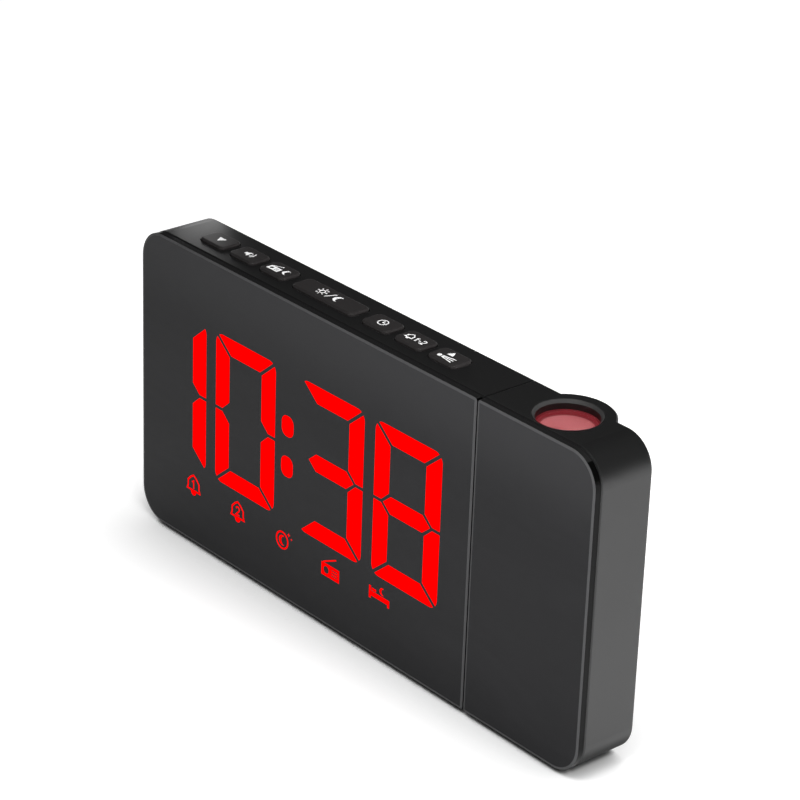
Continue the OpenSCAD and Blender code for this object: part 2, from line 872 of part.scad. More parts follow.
module dc_pin() {
    front = body_d - inlet_l;
    color("silver") disc(x_left + inlet_x, inlet_z, inlet_pin_r, front + 1.8, body_d - 0.9);
}

module antenna_grommet() {
    color([0.08, 0.08, 0.08]) at_depth(0) translate([grommet_x, grommet_z, 0]) rotate_extrude() polygon([
        [0.7, inner_back - 1], [grommet_r + 0.9, inner_back - 1], [grommet_r + 0.9, inner_back],
        [grommet_r, inner_back], [grommet_r, body_d], [grommet_r + 0.9, body_d],
        [grommet_r + 0.3, body_d + 0.8], [0.7, body_d + 0.8]
    ]);
}

module case_screws() {
    color("silver") for (p = body_screws) case_screw(p);
}

module feet() {
    color([0.1, 0.1, 0.1]) for (x = foot_xs) difference() {
        linear_extrude(foot_h) rounded(centred(x, pivot_y, foot_w, foot_d, foot_r));
        mirror([0, 0, 1]) carry_round(centred(x, pivot_y, foot_w, foot_d, foot_r))
            fillet_profile(foot_edge_r);
    }
}

// ---- Pivot ----

// Places a drawing so that its z runs to the right along the pivot's axis
module on_pivot(x) {
    translate([x, pivot_y, pivot_z]) rotate([0, 90, 0]) children();
}

module ring(r_out, r_in, h) {
    difference() {
        cylinder(h = h, r = r_out);
        translate([0, 0, -over]) cylinder(h = h + 2 * over, r = r_in);
    }
}

module glide_washer() {
    color("ivory") on_pivot(x_seam) ring(glide_r, hub_r + 0.3, glide_t);
}

// Dished spring washer that keeps the arm's turning stiff
module pivot_spring() {
    dish = spring_t - 0.4;
    color("silver") on_pivot(x_seam - bearing_l - spring_t) rotate_extrude() polygon([
        [hub_r + 0.2, 0], [boss_r, dish], [boss_r, dish + 0.4], [hub_r + 0.2, 0.4]
    ]);
}

module pivot_hub() {
    wall_in = x_arm + wall;
    color([0.18, 0.18, 0.18]) difference() {
        union() {
            on_pivot(hub_end) cylinder(h = wall_in + hub_flange_t - hub_end, r = hub_r);
            translate([wall_in, pivot_y - hub_flange_d / 2, pivot_z - hub_flange_h / 2])
                cube([hub_flange_t, hub_flange_d, hub_flange_h]);
        }
        on_pivot(hub_end - over)
            cylinder(h = wall_in + hub_flange_t - hub_end + 2 * over, r = hub_r - hub_wall);
        on_pivot(clip_x) difference() {
            cylinder(h = clip_t, r = hub_r + over);
            translate([0, 0, -over]) cylinder(h = clip_t + 2 * over, r = hub_r - clip_groove);
        }
        for (s = SIDES) translate([0, 0, s * hub_screw_rise]) on_pivot(wall_in - over)
            cylinder(h = hub_flange_t + 2 * over, r = 1.3);
    }
}

// Retaining clip with an open side, in the hub's groove
module pivot_clip() {
    clip_opening = 2 * (hub_r - clip_groove - 0.6);
    color("silver") on_pivot(clip_x + 0.05) difference() {
        cylinder(h = clip_t - 0.1, r = boss_r - 0.4);
        translate([0, 0, -over]) cylinder(h = clip_t + 2 * over, r = hub_r - clip_groove);
        translate([0, -clip_opening / 2, -over]) cube([2 * boss_r, clip_opening, clip_t + 2 * over]);
    }
}

module hub_screws() {
    color("silver") for (s = SIDES) translate([0, 0, s * hub_screw_rise]) on_pivot(x_arm + 0.6) {
        cylinder(h = wall + hub_flange_t, r = 1);
        translate([0, 0, wall + hub_flange_t - 0.6]) cylinder(h = 1.3, r = 2);
    }
}

// Wires from the display board through the pivot to the projector, with their plug
module loom() {
    start = hub_end + 0.4;
    plug_x = ring_x - led_board_r - led_tab_l;
    wire_r = 0.5;
    wire_end = 1.2;
    color([0.12, 0.12, 0.12]) {
        on_pivot(start) cylinder(h = plug_x - start, r = loom_r);
        for (a = [0:90:270]) on_pivot(start - wire_end) rotate([0, 0, a]) translate([loom_r / 2, 0, 0])
            cylinder(h = wire_end + over, r = wire_r);
        translate([plug_x, pivot_y - led_tab_w / 2, tube_foot]) cube([loom_plug_w, led_tab_w, loom_plug_h]);
    }
}

module loom_bushing() {
    color([0.3, 0.3, 0.3]) on_pivot(x_arm + wall - 1) ring(hub_r - hub_wall, loom_r, 2.5);
}

// ---- Swing arm ----

module arm_window() {
    color([0.05, 0.05, 0.055]) window_panel(arm_plan);
}

module arm_frame() {
    relief = ring_r + shoulder + 0.4;
    color([0.07, 0.07, 0.07]) difference() {
        frame_panel(arm_plan, arm_screws_at, centred(ring_x, pivot_z - 8, 16, 30, 3));
        translate([ring_x, ring_y, tube_top - 0.5]) cylinder(h = under_top - tube_top + 0.5, r = relief);
        slab(centred(x_arm, pivot_z, 2 * (wall + hub_flange_t + 3), hub_flange_h + 3, 0.2),
             plate_end, skirt_end + over);
    }
}

module barrel(r, top, h) {
    translate([ring_x, ring_y, top - h]) cylinder(h = h, r = r);
    translate([ring_x, ring_y, top - h - r / 2]) cylinder(h = r / 2, r1 = r * 0.45, r2 = r);
}

module behind_pivot() {
    translate([ring_x - 2 * barrel_r, pivot_y, z_base]) cube([4 * barrel_r, body_d + bulge, body_h]);
}

module arm_case() {
    barrel_chamfer = 0.4;
    color([0.13, 0.13, 0.13]) difference() {
        union() {
            case_block(arm_case_plan, arm_edges);
            intersection() {
                union() {
                    barrel(barrel_r, z_top - barrel_chamfer, barrel_h);
                    translate([ring_x, ring_y, z_top - barrel_chamfer])
                        cylinder(h = barrel_chamfer, r1 = barrel_r, r2 = barrel_r - barrel_chamfer);
                }
                behind_pivot();
            }
        }
        difference() {
            union() {
                case_inside(arm_case_plan);
                intersection() {
                    barrel(barrel_r - barrel_wall, z_top - wall, barrel_h - wall);
                    behind_pivot();
                }
            }
            // Saddles that hold the optics tube, and the screw bosses
            for (z = saddles_z) difference() {
                translate([ring_x - saddle_w / 2, pivot_y + 1.5, z])
                    cube([saddle_w, body_d + bulge, saddle_t]);
                translate([ring_x, ring_y, z - over]) cylinder(h = saddle_t + 2 * over, r = tube_r);
                translate([ring_x - tube_r, pivot_y - over, z - over])
                    cube([2 * tube_r, ring_y - pivot_y + over, saddle_t + 2 * over]);
            }
            for (p = arm_screws_at) case_boss(p);
        }
        for (p = arm_screws_at) screw_way(p);
        translate([ring_x, ring_y, z_top - wall - over])
            cylinder(h = wall + 2 * over, r = ring_r + ring_play);
        on_pivot(x_arm - over) cylinder(h = wall + 2 * over, r = hub_r + 0.05);
        for (s = SIDES) translate([0, 0, s * hub_screw_rise]) on_pivot(x_arm + 0.5)
            cylinder(h = wall + over, r = 1.05);
    }
}

module arm_screws() {
    color("silver") for (p = arm_screws_at) case_screw(p);
}

// ---- Projector ----

// Turns a profile about the lens's axis
module lens_turn() {
    translate([ring_x, ring_y, 0]) rotate_extrude() children();
}

// The turning ring: bright inner chamfer, seat for the tinted window, shoulder and driving skirt
module focus_ring() {
    seat = z_top - lens_recess - window_disc_t;
    color([0.1, 0.1, 0.1]) difference() {
        lens_turn() polygon([
            [ring_r, ring_foot], [ring_r + shoulder, ring_foot], [ring_r + shoulder, under_top - ring_play],
            [ring_r, under_top - ring_play], [ring_r, z_top], [ring_top_bore + ring_chamfer, z_top],
            [ring_top_bore, z_top - ring_chamfer], [ring_top_bore, seat], [ring_bore, seat],
            [ring_bore, ring_foot]
        ]);
        for (a = [0, 180]) translate([ring_x, ring_y, 0]) rotate([0, 0, a]) helical_groove();
    }
}

// Groove in which a peg of the lens cell climbs as the ring turns, and the slot it was put in by
module helical_groove() {
    steps = 12;
    step = 2 * focus_half_turn / steps;
    rise = 2 * focus_travel / steps;
    peg_z = lens_top - peg_drop;
    high = 2 * (peg_r + peg_play) + rise;
    deep = peg_out + ring_play + 0.1;
    along = 2 * (ring_bore + deep) * tan(step / 2) + 2 * (peg_r + peg_play);
    for (i = [0:steps]) rotate([0, 0, i * step - focus_half_turn])
        translate([ring_bore - 0.5, -along / 2, peg_z + focus_travel - i * rise - high / 2])
            cube([deep + 0.5, along, high]);
    rotate([0, 0, focus_half_turn + 8])
        translate([ring_bore - 0.5, -high / 2, ring_foot - over])
            cube([deep + 0.5, high, peg_z - focus_travel - ring_foot + over + high / 2]);
}

module tinted_window() {
    color([0.6, 0.1, 0.12, 0.6]) translate([ring_x, ring_y, z_top - lens_recess - window_disc_t])
        cylinder(h = window_disc_t, r = ring_top_bore);
}

// The cell holds the lens and slides on the neck of the optics housing
module lens_cell() {
    seat = lens_top - lens_rim_t;
    color([0.1, 0.1, 0.1]) difference() {
        union() {
            lens_turn() polygon([
                [lens_r, lens_top], [cell_out, lens_top], [cell_out, lens_top - cell_l],
                [cell_in, lens_top - cell_l], [cell_in, seat], [lens_r, seat]
            ]);
            for (a = [0, 180]) translate([ring_x, ring_y, lens_top - peg_drop]) rotate([0, 0, a])
                translate([cell_out - 0.3, 0, 0]) rotate([0, 90, 0]) cylinder(h = peg_out + 0.3, r = peg_r);
        }
        // Keyways that stop the cell turning
        for (s = SIDES)
            translate([ring_x - neck_key_w / 2 - 0.1, ring_y + s * neck_r, lens_top - cell_l - over])
                translate([0, -neck_key_out - ring_play, 0])
                    cube([neck_key_w + 0.2, 2 * (neck_key_out + ring_play), cell_l - lens_rim_t + over]);
    }
}

// Lens with its flat side up
module projection_lens() {
    cap_r = cell_in - 0.3;
    sphere_r = (cap_r * cap_r + lens_dome * lens_dome) / (2 * lens_dome);
    base = lens_top - lens_rim_t;
    color([0.9, 0.6, 0.62, 0.6]) {
        translate([ring_x, ring_y, base]) cylinder(h = lens_rim_t, r = lens_r);
        intersection() {
            translate([ring_x, ring_y, base - lens_dome]) cylinder(h = lens_dome + 0.1, r = cap_r);
            translate([ring_x, ring_y, base - lens_dome + sphere_r]) sphere(sphere_r);
        }
    }
}

module optics_housing() {
    color([0.1, 0.1, 0.1]) difference() {
        union() {
            lens_turn() polygon([
                [neck_r - neck_wall, neck_top], [neck_r, neck_top], [neck_r, collar_top],
                [ring_r + shoulder, collar_top], [ring_r + shoulder, tube_top], [tube_r, tube_top],
                [tube_r, tube_foot], [tube_r - tube_wall, tube_foot], [tube_r - tube_wall, tube_top - 1],
                [neck_r - neck_wall, tube_top]
            ]);
            // Keys on which the lens cell slides
            for (s = SIDES)
                translate([ring_x - neck_key_w / 2, ring_y + s * (neck_r - 0.3) - neck_key_out, collar_top])
                    cube([neck_key_w, 2 * neck_key_out, neck_top - collar_top]);
        }
        // Slot for the image slide
        translate([ring_x - slide_w / 2 - 0.1, ring_y - tube_r - over, slide_z])
            cube([slide_w + 0.2, 2 * tube_r + 2 * over, slide_t]);
    }
}

module image_lcd() {
    color([0.35, 0.4, 0.42]) translate([ring_x - slide_w / 2, ring_y - slide_w / 2, slide_z])
        cube([slide_w, slide_w, slide_t]);
}

module condenser_lens() {
    dome = 2;
    sphere_r = (condenser_r * condenser_r + dome * dome) / (2 * dome);
    color([0.8, 0.85, 0.9, 0.5]) {
        intersection() {
            translate([ring_x, ring_y, condenser_z]) cylinder(h = condenser_t, r = condenser_r);
            translate([ring_x, ring_y, condenser_z + condenser_t - sphere_r]) sphere(sphere_r);
        }
        translate([ring_x, ring_y, condenser_z]) cylinder(h = 1, r = tube_r - tube_wall);
    }
}

module projector_led() {
    color("red") translate([ring_x, ring_y, tube_foot]) {
        cylinder(h = 1, r = led_r + 0.4);
        cylinder(h = 4, r = led_r);
        translate([0, 0, 4]) sphere(led_r);
    }
}

module led_board() {
    color([0.05, 0.3, 0.15]) translate([0, 0, tube_foot - led_board_t]) {
        translate([ring_x, ring_y, 0]) cylinder(h = led_board_t, r = led_board_r);
        translate([ring_x - led_board_r - led_tab_l, pivot_y - led_tab_w / 2, 0])
            cube([led_board_r + led_tab_l - tube_r / 2, led_tab_w, led_board_t]);
    }
}

window();
mask_film();
front_frame();
rear_case();
display_housing();
hour_tens_segments();
hour_units_segments();
minute_tens_segments();
minute_units_segments();
colon_dots();
icon_bars();
display_board();
display_leds();
control_chips();
capacitors();
crystal();
key_board();
key_switches();
speaker_frame();
speaker_cone();
speaker_magnet();
coin_cell();
cell_contacts();
port_board();
usb_shell();
usb_tongue();
dc_jack();
dc_pin();
antenna_grommet();
case_screws();
feet();
glide_washer();
pivot_spring();
key_down();
key_volume();
key_radio();
key_snooze();
key_set();
key_alarm();
key_up();
battery_door();
arm_window();
arm_frame();
arm_case();
pivot_hub();
hub_screws();
pivot_clip();
loom();
loom_bushing();
arm_screws();
optics_housing();
condenser_lens();
image_lcd();
projector_led();
led_board();
focus_ring();
tinted_window();
lens_cell();
projection_lens();
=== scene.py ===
"""Looks of a projection alarm clock, laid out as an add-on round its fixed CAD frame.

The frame gives every solid its place. This file gives the solids their finishes and adds what is
too thin for the frame: the lit bars and signs of the display, and the signs printed on the keys.
All lengths are in metres. As one faces the display, +X is to the right and +Y to the back.
"""
import json
import math

import bmesh
import bpy
from mathutils import Matrix, Vector
from mathutils.geometry import tessellate_polygon

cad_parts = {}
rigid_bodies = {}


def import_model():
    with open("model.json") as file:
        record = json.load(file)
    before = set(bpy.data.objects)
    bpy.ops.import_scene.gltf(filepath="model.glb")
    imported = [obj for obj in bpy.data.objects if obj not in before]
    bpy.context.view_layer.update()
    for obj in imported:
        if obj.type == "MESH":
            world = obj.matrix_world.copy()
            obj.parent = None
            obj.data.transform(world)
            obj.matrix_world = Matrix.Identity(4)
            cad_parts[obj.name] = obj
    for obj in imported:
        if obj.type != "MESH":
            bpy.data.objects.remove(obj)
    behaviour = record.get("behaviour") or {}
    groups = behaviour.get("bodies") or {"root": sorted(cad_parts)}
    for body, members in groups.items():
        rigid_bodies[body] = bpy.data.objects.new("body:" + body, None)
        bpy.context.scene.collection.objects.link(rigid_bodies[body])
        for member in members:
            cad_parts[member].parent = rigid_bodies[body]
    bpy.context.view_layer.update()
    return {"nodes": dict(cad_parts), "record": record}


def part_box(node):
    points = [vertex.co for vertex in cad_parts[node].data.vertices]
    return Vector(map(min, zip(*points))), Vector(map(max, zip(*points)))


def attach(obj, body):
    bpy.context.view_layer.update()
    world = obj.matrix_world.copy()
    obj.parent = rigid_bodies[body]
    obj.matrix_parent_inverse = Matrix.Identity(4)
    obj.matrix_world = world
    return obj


bl_info = {
    "name": "Projection Alarm Clock",
    "version": (1, 0, 0),
    "blender": (4, 5, 0),
    "location": "View3D > Sidebar > Clock",
    "description": "Finishes, display and key signs of a projection alarm clock",
    "category": "Object",
}

for leftover in list(bpy.data.objects):
    bpy.data.objects.remove(leftover)

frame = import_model()
NODES = frame["nodes"]
MM = 0.001
BACKWARD = (0.0, 1.0, 0.0)
UPWARD = (0.0, 0.0, 1.0)
# Front surface of the window, which the lit films lie in
FACE_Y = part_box("window")[0].y
# Share of a film's thickness that stands proud of the surface it lies in
PROUD = 0.6
# Least cosine at a corner of a pen line, so that the corner's point stays short
LEAST_MITRE = 0.4
# From the floor's middle to each of its sides
FLOOR_REACH = 4.0
# Width of the camera's frame, in millimetres
FRAME_WIDTH = 36
# Middle of the clock, where the large lamps point
MIDDLE = (0.0, 0.0, 0.045)

# The digit that each set of bars shows, and the bars that are lit for each digit
LIT_TIME = {
    "hour_tens_segments": "1",
    "hour_units_segments": "0",
    "minute_tens_segments": "3",
    "minute_units_segments": "8",
}
LIT_BARS = {
    "0": {"top", "bottom", "upper left", "lower left", "upper right", "lower right"},
    "1": {"upper right", "lower right"},
    "3": {"top", "middle", "bottom", "upper right", "lower right"},
    "8": {"top", "middle", "bottom", "upper left", "lower left", "upper right", "lower right"},
}


# ---- What a user would change ----


class ClockColours(bpy.types.PropertyGroup):
    """Colours of the clock's surfaces."""

    panel: bpy.props.FloatVectorProperty(
        name="Panel", description="Smoked front panels", subtype="COLOR", size=3,
        default=(0.0145, 0.0145, 0.0158), min=0, max=1)
    # Painted reflection: the panels' colour grows lighter towards their top.
    panel_top_reflection: bpy.props.FloatVectorProperty(
        name="Panel top", description="Front panels along their top", subtype="COLOR", size=3,
        default=(0.028, 0.028, 0.0296), min=0, max=1)
    panel_reflection_fade: bpy.props.FloatVectorProperty(
        name="Panel fade", description="Heights between which the panels grow lighter",
        unit="LENGTH", size=2, default=(64 * MM, 90 * MM), min=0)
    # Painted highlight: the bevel round the panels is coloured paler, where it catches the light.
    panel_bevel_highlight: bpy.props.FloatVectorProperty(
        name="Panel bevel", description="Ground bevel round the panels", subtype="COLOR", size=3,
        default=(0.062, 0.062, 0.064), min=0, max=1)
    case: bpy.props.FloatVectorProperty(
        name="Case", description="Matte case halves", subtype="COLOR", size=3,
        default=(0.006, 0.006, 0.0061), min=0, max=1)
    key: bpy.props.FloatVectorProperty(
        name="Keys", description="Key caps", subtype="COLOR", size=3,
        default=(0.018, 0.0165, 0.0165), min=0, max=1)
    print: bpy.props.FloatVectorProperty(
        name="Print", description="Signs printed on the keys", subtype="COLOR", size=3,
        default=(0.85, 0.85, 0.85), min=0, max=1)
    lit: bpy.props.FloatVectorProperty(
        name="Lit display", description="Light of the display", subtype="COLOR", size=3,
        default=(1.0, 0.0, 0.0), min=0, max=1)
    glass: bpy.props.FloatVectorProperty(
        name="Tinted window", description="Window over the projector's lens", subtype="COLOR",
        size=3, default=(0.9, 0.84, 0.84), min=0, max=1)


class ClockSigns(bpy.types.PropertyGroup):
    """Sizes of the lit and printed signs."""

    film: bpy.props.FloatProperty(
        name="Film", description="Thickness of the lit and printed shapes", unit="LENGTH",
        default=0.05 * MM, min=0.01 * MM, max=0.2 * MM)
    lit_pen: bpy.props.FloatProperty(
        name="Indicator line", description="Line width of the lit indicators", unit="LENGTH",
        default=0.54 * MM, min=0.3 * MM, max=1.0 * MM)
    key_pen: bpy.props.FloatProperty(
        name="Key line", description="Line width of the signs on the keys", unit="LENGTH",
        default=0.3 * MM, min=0.2 * MM, max=0.6 * MM)
    glow: bpy.props.FloatProperty(
        name="Glow", description="Strength of the display's light", default=1.15, min=0, max=5)


class ClockStage(bpy.types.PropertyGroup):
    """Camera, lamps and floor."""

    camera_place: bpy.props.FloatVectorProperty(
        name="Camera place", description="Where the camera stands", subtype="TRANSLATION",
        unit="LENGTH", size=3, default=(0.5530, -0.4779, 0.4136))
    camera_aim: bpy.props.FloatVectorProperty(
        name="Camera aim", description="Point that the camera looks at", subtype="TRANSLATION",
        unit="LENGTH", size=3, default=(0.0081, -0.0019, 0.0723))
    camera_roll: bpy.props.FloatProperty(
        name="Camera roll", description="Turn of the camera about its own axis", unit="ROTATION",
        default=math.radians(2.095))
    lens: bpy.props.FloatProperty(
        name="Lens", description="Focal length in millimetres on a frame 36 mm wide",
        default=137.1, min=20, max=300)
    side_lamp: bpy.props.FloatProperty(
        name="Side lamp", description="Power of the soft lamp at the right, in watts", default=12,
        min=0)
    back_lamp: bpy.props.FloatProperty(
        name="Back lamp", description="Power of the soft lamp above the right back, in watts",
        default=6, min=0)
    front_lamp: bpy.props.FloatProperty(
        name="Front lamp", description="Power of the small lamp above the front, in watts",
        default=0.55, min=0)
    left_card: bpy.props.FloatProperty(
        name="Left card", description="Power of the card that glints in the left end, in watts",
        default=0.0012, min=0)
    ambient: bpy.props.FloatProperty(
        name="Surround", description="Light of the room", default=0.3, min=0, max=2)
    floor_lift: bpy.props.FloatProperty(
        name="Floor lift", description="How far the open floor is lifted towards white",
        default=0.7, min=0, max=1)
    shade_reach: bpy.props.FloatProperty(
        name="Shade reach", description="How far round the clock the floor is shaded",
        unit="LENGTH", default=42 * MM, min=0)
    shade_depth: bpy.props.FloatProperty(
        name="Shade depth", description="Share of the lift that is lost beside the clock",
        default=0.9, min=0, max=1)
    contact_reach: bpy.props.FloatProperty(
        name="Contact reach", description="Reach of the dark line where the clock meets the floor",
        unit="LENGTH", default=2.5 * MM, min=0)


# ---- Materials: nodes ----


def feed(tree, node, inputs):
    """Feeds a node's inputs, each from the output of another node or with a plain value."""
    for name, value in inputs.items():
        if isinstance(value, bpy.types.NodeSocket):
            tree.links.new(value, node.inputs[name])
        else:
            node.inputs[name].default_value = value


def add_node(tree, kind, inputs=None, **settings):
    """A new node with these settings and inputs."""
    node = tree.nodes.new(kind)
    for name, value in settings.items():
        setattr(node, name, value)
    feed(tree, node, inputs or {})
    return node


def math_node(tree, operation, *values):
    """The result of a sum on one or two values; each is a socket or a number."""
    node = add_node(tree, "ShaderNodeMath", dict(enumerate(values)), operation=operation)
    return node.outputs[0]


def dot_product(tree, first, second):
    """How much of one vector lies along another."""
    node = add_node(tree, "ShaderNodeVectorMath", {0: first, 1: second}, operation="DOT_PRODUCT")
    return node.outputs["Value"]


def upward_part(tree, vector):
    """How much of a vector points up."""
    return add_node(tree, "ShaderNodeSeparateXYZ", {"Vector": vector}).outputs["Z"]


def object_place(tree):
    """The place on the object itself, in metres."""
    return add_node(tree, "ShaderNodeTexCoord").outputs["Object"]


def scaled_place(tree, scale, rotation=(0.0, 0.0, 0.0)):
    """The place on the object, turned and with each axis scaled, so that a pattern is stretched."""
    node = add_node(tree, "ShaderNodeMapping",
                    {"Vector": object_place(tree), "Rotation": rotation, "Scale": scale})
    return node.outputs["Vector"]


def noise(tree, place, **inputs):
    """A cloudy pattern between 0 and 1 at this place."""
    named = {name.capitalize(): value for name, value in inputs.items()}
    return add_node(tree, "ShaderNodeTexNoise", {"Vector": place, **named}).outputs["Fac"]


def ramp(tree, value, start, end, shape="SMOOTHSTEP"):
    """A mask that is 0 where the value is at the start and 1 where it is at the end."""
    node = add_node(tree, "ShaderNodeMapRange",
                    {"Value": value, "From Min": start, "From Max": end}, interpolation_type=shape)
    return node.outputs["Result"]


def bumped(tree, height, distance, strength=1.0):
    """The surface's normal, tilted by a relief of this height."""
    node = add_node(tree, "ShaderNodeBump",
                    {"Height": height, "Distance": distance, "Strength": strength})
    return node.outputs["Normal"]


def openness(tree, reach, samples):
    """How free a place is of other things within reach: 1 in the open, less beside a thing."""
    node = add_node(tree, "ShaderNodeAmbientOcclusion", {"Distance": reach}, samples=samples)
    return node.outputs["AO"]


def grey(level):
    """A colour without a hue."""
    return (level, level, level)


def mix_colours(tree, mask, first, second):
    """Mixes two colours by a mask; each colour is a socket or three numbers."""
    node = add_node(tree, "ShaderNodeMix", {"Factor": mask}, data_type="RGBA")
    ends = [socket for socket in node.inputs if socket.type == "RGBA"]
    for socket, colour in zip(ends, (first, second)):
        if isinstance(colour, bpy.types.NodeSocket):
            tree.links.new(colour, socket)
        else:
            socket.default_value = (*colour, 1)
    return next(socket for socket in node.outputs if socket.type == "RGBA")


def toned(tree, mask, colour, spread):
    """A colour that is a little darker and lighter from place to place, as the mask says."""
    darker = [part * (1 - spread) for part in colour]
    lighter = [part * (1 + spread) for part in colour]
    return mix_colours(tree, mask, darker, lighter)


def seen_or_mirrored(tree):
    """A mask that is 1 for rays from the camera and rays that mirrors and glass send on."""
    path = add_node(tree, "ShaderNodeLightPath")
    first = math_node(tree, "MAXIMUM", path.outputs["Is Camera Ray"], path.outputs["Is Glossy Ray"])
    return math_node(tree, "MAXIMUM", first, path.outputs["Is Transmission Ray"])


# ---- Materials: groups of nodes that several finishes share ----


def start_group(name, inputs, outputs):
    """An empty node group, and its two end nodes.

    Each input has its usual value: a number, or three numbers for a vector. Outputs are numbers.
    """
    tree = bpy.data.node_groups.new(name, "ShaderNodeTree")
    for label, value in inputs.items():
        kind = "NodeSocketVector" if isinstance(value, tuple) else "NodeSocketFloat"
        socket = tree.interface.new_socket(label, in_out="INPUT", socket_type=kind)
        socket.default_value = value
    for label in outputs:
        tree.interface.new_socket(label, in_out="OUTPUT", socket_type="NodeSocketFloat")
    return tree, tree.nodes.new("NodeGroupInput"), tree.nodes.new("NodeGroupOutput")


def varied_roughness(tree, given, pattern):
    """The group's roughness, which a pattern moves up and down by half the group's spread."""
    centred = math_node(tree, "SUBTRACT", pattern, 0.5)
    swing = math_node(tree, "MULTIPLY", centred, given.outputs["Spread"])
    return math_node(tree, "ADD", swing, given.outputs["Roughness"])


def build_moulded_grain():
    """Fine grain of a moulded or sprayed surface, with slow changes of tone and roughness."""
    tree, given, out = start_group(
        "Moulded grain", {"Grain Size": 0.2 * MM, "Roughness": 0.5, "Spread": 0.1},
        ("Height", "Roughness", "Tone"))
    place = object_place(tree)
    scale = math_node(tree, "DIVIDE", 1.0, given.outputs["Grain Size"])
    grain = noise(tree, place, scale=scale, detail=3.0, roughness=0.6)
    slow = noise(tree, place, scale=45.0, detail=4.0, roughness=0.55)
    both = math_node(tree, "ADD", slow, grain)
    feed(tree, out, {
        "Height": grain,
        "Roughness": varied_roughness(tree, given, slow),
        "Tone": math_node(tree, "MULTIPLY", both, 0.5),
    })
    return tree


def build_edge_wear_and_highlight():
    """Mask of the corners, broken up a little: rubbed bright, and a painted highlight."""
    tree, given, out = start_group("Edge wear", {"Reach": 0.3 * MM, "Strength": 1.0}, ["Edge"])
    rounded = add_node(tree, "ShaderNodeBevel", {"Radius": given.outputs["Reach"]}, samples=6)
    surface = add_node(tree, "ShaderNodeNewGeometry")
    alike = dot_product(tree, rounded.outputs["Normal"], surface.outputs["Normal"])
    bend = math_node(tree, "SUBTRACT", 1.0, alike)
    patches = noise(tree, object_place(tree), scale=260.0, detail=3.0)
    broken = math_node(tree, "MULTIPLY", bend, math_node(tree, "ADD", patches, 0.5))
    strong = math_node(tree, "MULTIPLY", broken, given.outputs["Strength"])
    feed(tree, out, {"Edge": math_node(tree, "MINIMUM", strong, 1.0)})
    return tree


def build_handling_marks():
    """Faint smears left by fingers and a cloth: a mask, and the roughness that it makes."""
    tree, given, out = start_group(
        "Handling marks", {"Roughness": 0.1, "Amount": 0.05}, ("Roughness", "Mask"))
    place = scaled_place(tree, (18.0, 18.0, 60.0), rotation=(0.0, 0.5, 0.0))
    cloud = noise(tree, place, scale=1.0, detail=6.0, roughness=0.62, distortion=0.8)
    smears = ramp(tree, cloud, 0.42, 0.72, shape="LINEAR")
    extra = math_node(tree, "MULTIPLY", smears, given.outputs["Amount"])
    feed(tree, out, {
        "Roughness": math_node(tree, "ADD", given.outputs["Roughness"], extra),
        "Mask": smears,
    })
    return tree


def build_slanted_faces():
    """Mask of the faces whose normal has this share of the axis, such as a bevel round a face."""
    tree, given, out = start_group(
        "Slanted faces", {"Axis": UPWARD, "Least": 0.0, "Most": 1.0}, ["Mask"])
    surface = add_node(tree, "ShaderNodeNewGeometry")
    normal = add_node(
        tree, "ShaderNodeVectorTransform", {"Vector": surface.outputs["True Normal"]},
        vector_type="NORMAL", convert_from="WORLD", convert_to="OBJECT")
    along = dot_product(tree, normal.outputs["Vector"], given.outputs["Axis"])
    share = math_node(tree, "ABSOLUTE", along)
    above = math_node(tree, "GREATER_THAN", share, given.outputs["Least"])
    below = math_node(tree, "LESS_THAN", share, given.outputs["Most"])
    feed(tree, out, {"Mask": math_node(tree, "MULTIPLY", above, below)})
    return tree


def build_drawn_lines():
    """Fine parallel lines of rolled or drawn metal."""
    tree, given, out = start_group(
        "Drawn lines", {"Roughness": 0.25, "Spread": 0.15}, ("Height", "Roughness", "Tone"))
    lines = noise(tree, scaled_place(tree, (300.0, 5000.0, 5000.0)), scale=1.0, detail=4.0)
    feed(tree, out, {
        "Height": lines,
        "Roughness": varied_roughness(tree, given, lines),
        "Tone": lines,
    })
    return tree


GROUP_BUILDERS = {
    "Moulded grain": build_moulded_grain,
    "Edge wear": build_edge_wear_and_highlight,
    "Handling marks": build_handling_marks,
    "Slanted faces": build_slanted_faces,
    "Drawn lines": build_drawn_lines,
}


def place_group(tree, name, **values):
    """Puts a shared group into a material, with this material's own values. Returns its outputs."""
    node = tree.nodes.new("ShaderNodeGroup")
    node.node_tree = bpy.data.node_groups.get(name) or GROUP_BUILDERS[name]()
    node.label = name
    for key, value in values.items():
        node.inputs[key.replace("_", " ").title()].default_value = value
    return node.outputs


def slanted(tree, axis, least, most):
    """The mask of the shared group of slanted faces."""
    return place_group(tree, "Slanted faces", axis=axis, least=least, most=most)["Mask"]


# ---- Materials: one function for each kind of finish ----


def new_material(name):
    """A fresh material; the prefix keeps it apart from the frame's own plain ones."""
    material = bpy.data.materials.new("clock_" + name)
    material.use_nodes = True
    tree = material.node_tree
    return material, tree, tree.nodes["Principled BSDF"]


def moulded(name, colour, roughness=0.5, gloss=0.5, grain=0.2 * MM, relief=0.004 * MM,
            tone=0.12, wear_and_highlight=0.0, worn_and_highlit=grey(0.1)):
    """Opaque moulded plastic, resin or rubber."""
    material, tree, shader = new_material(name)
    surface = place_group(
        tree, "Moulded grain", grain_size=grain, roughness=roughness, spread=0.12)
    base = toned(tree, surface["Tone"], colour, tone)
    # Rubbed corners and a painted highlight: the corners are mixed towards a paler colour.
    if wear_and_highlight:
        corners = place_group(tree, "Edge wear", reach=0.25 * MM, strength=wear_and_highlight)
        base = mix_colours(tree, corners["Edge"], base, worn_and_highlit)
    feed(tree, shader, {
        "Base Color": base,
        "Roughness": surface["Roughness"],
        "Specular IOR Level": gloss,
        "Normal": bumped(tree, surface["Height"], relief),
    })
    return material


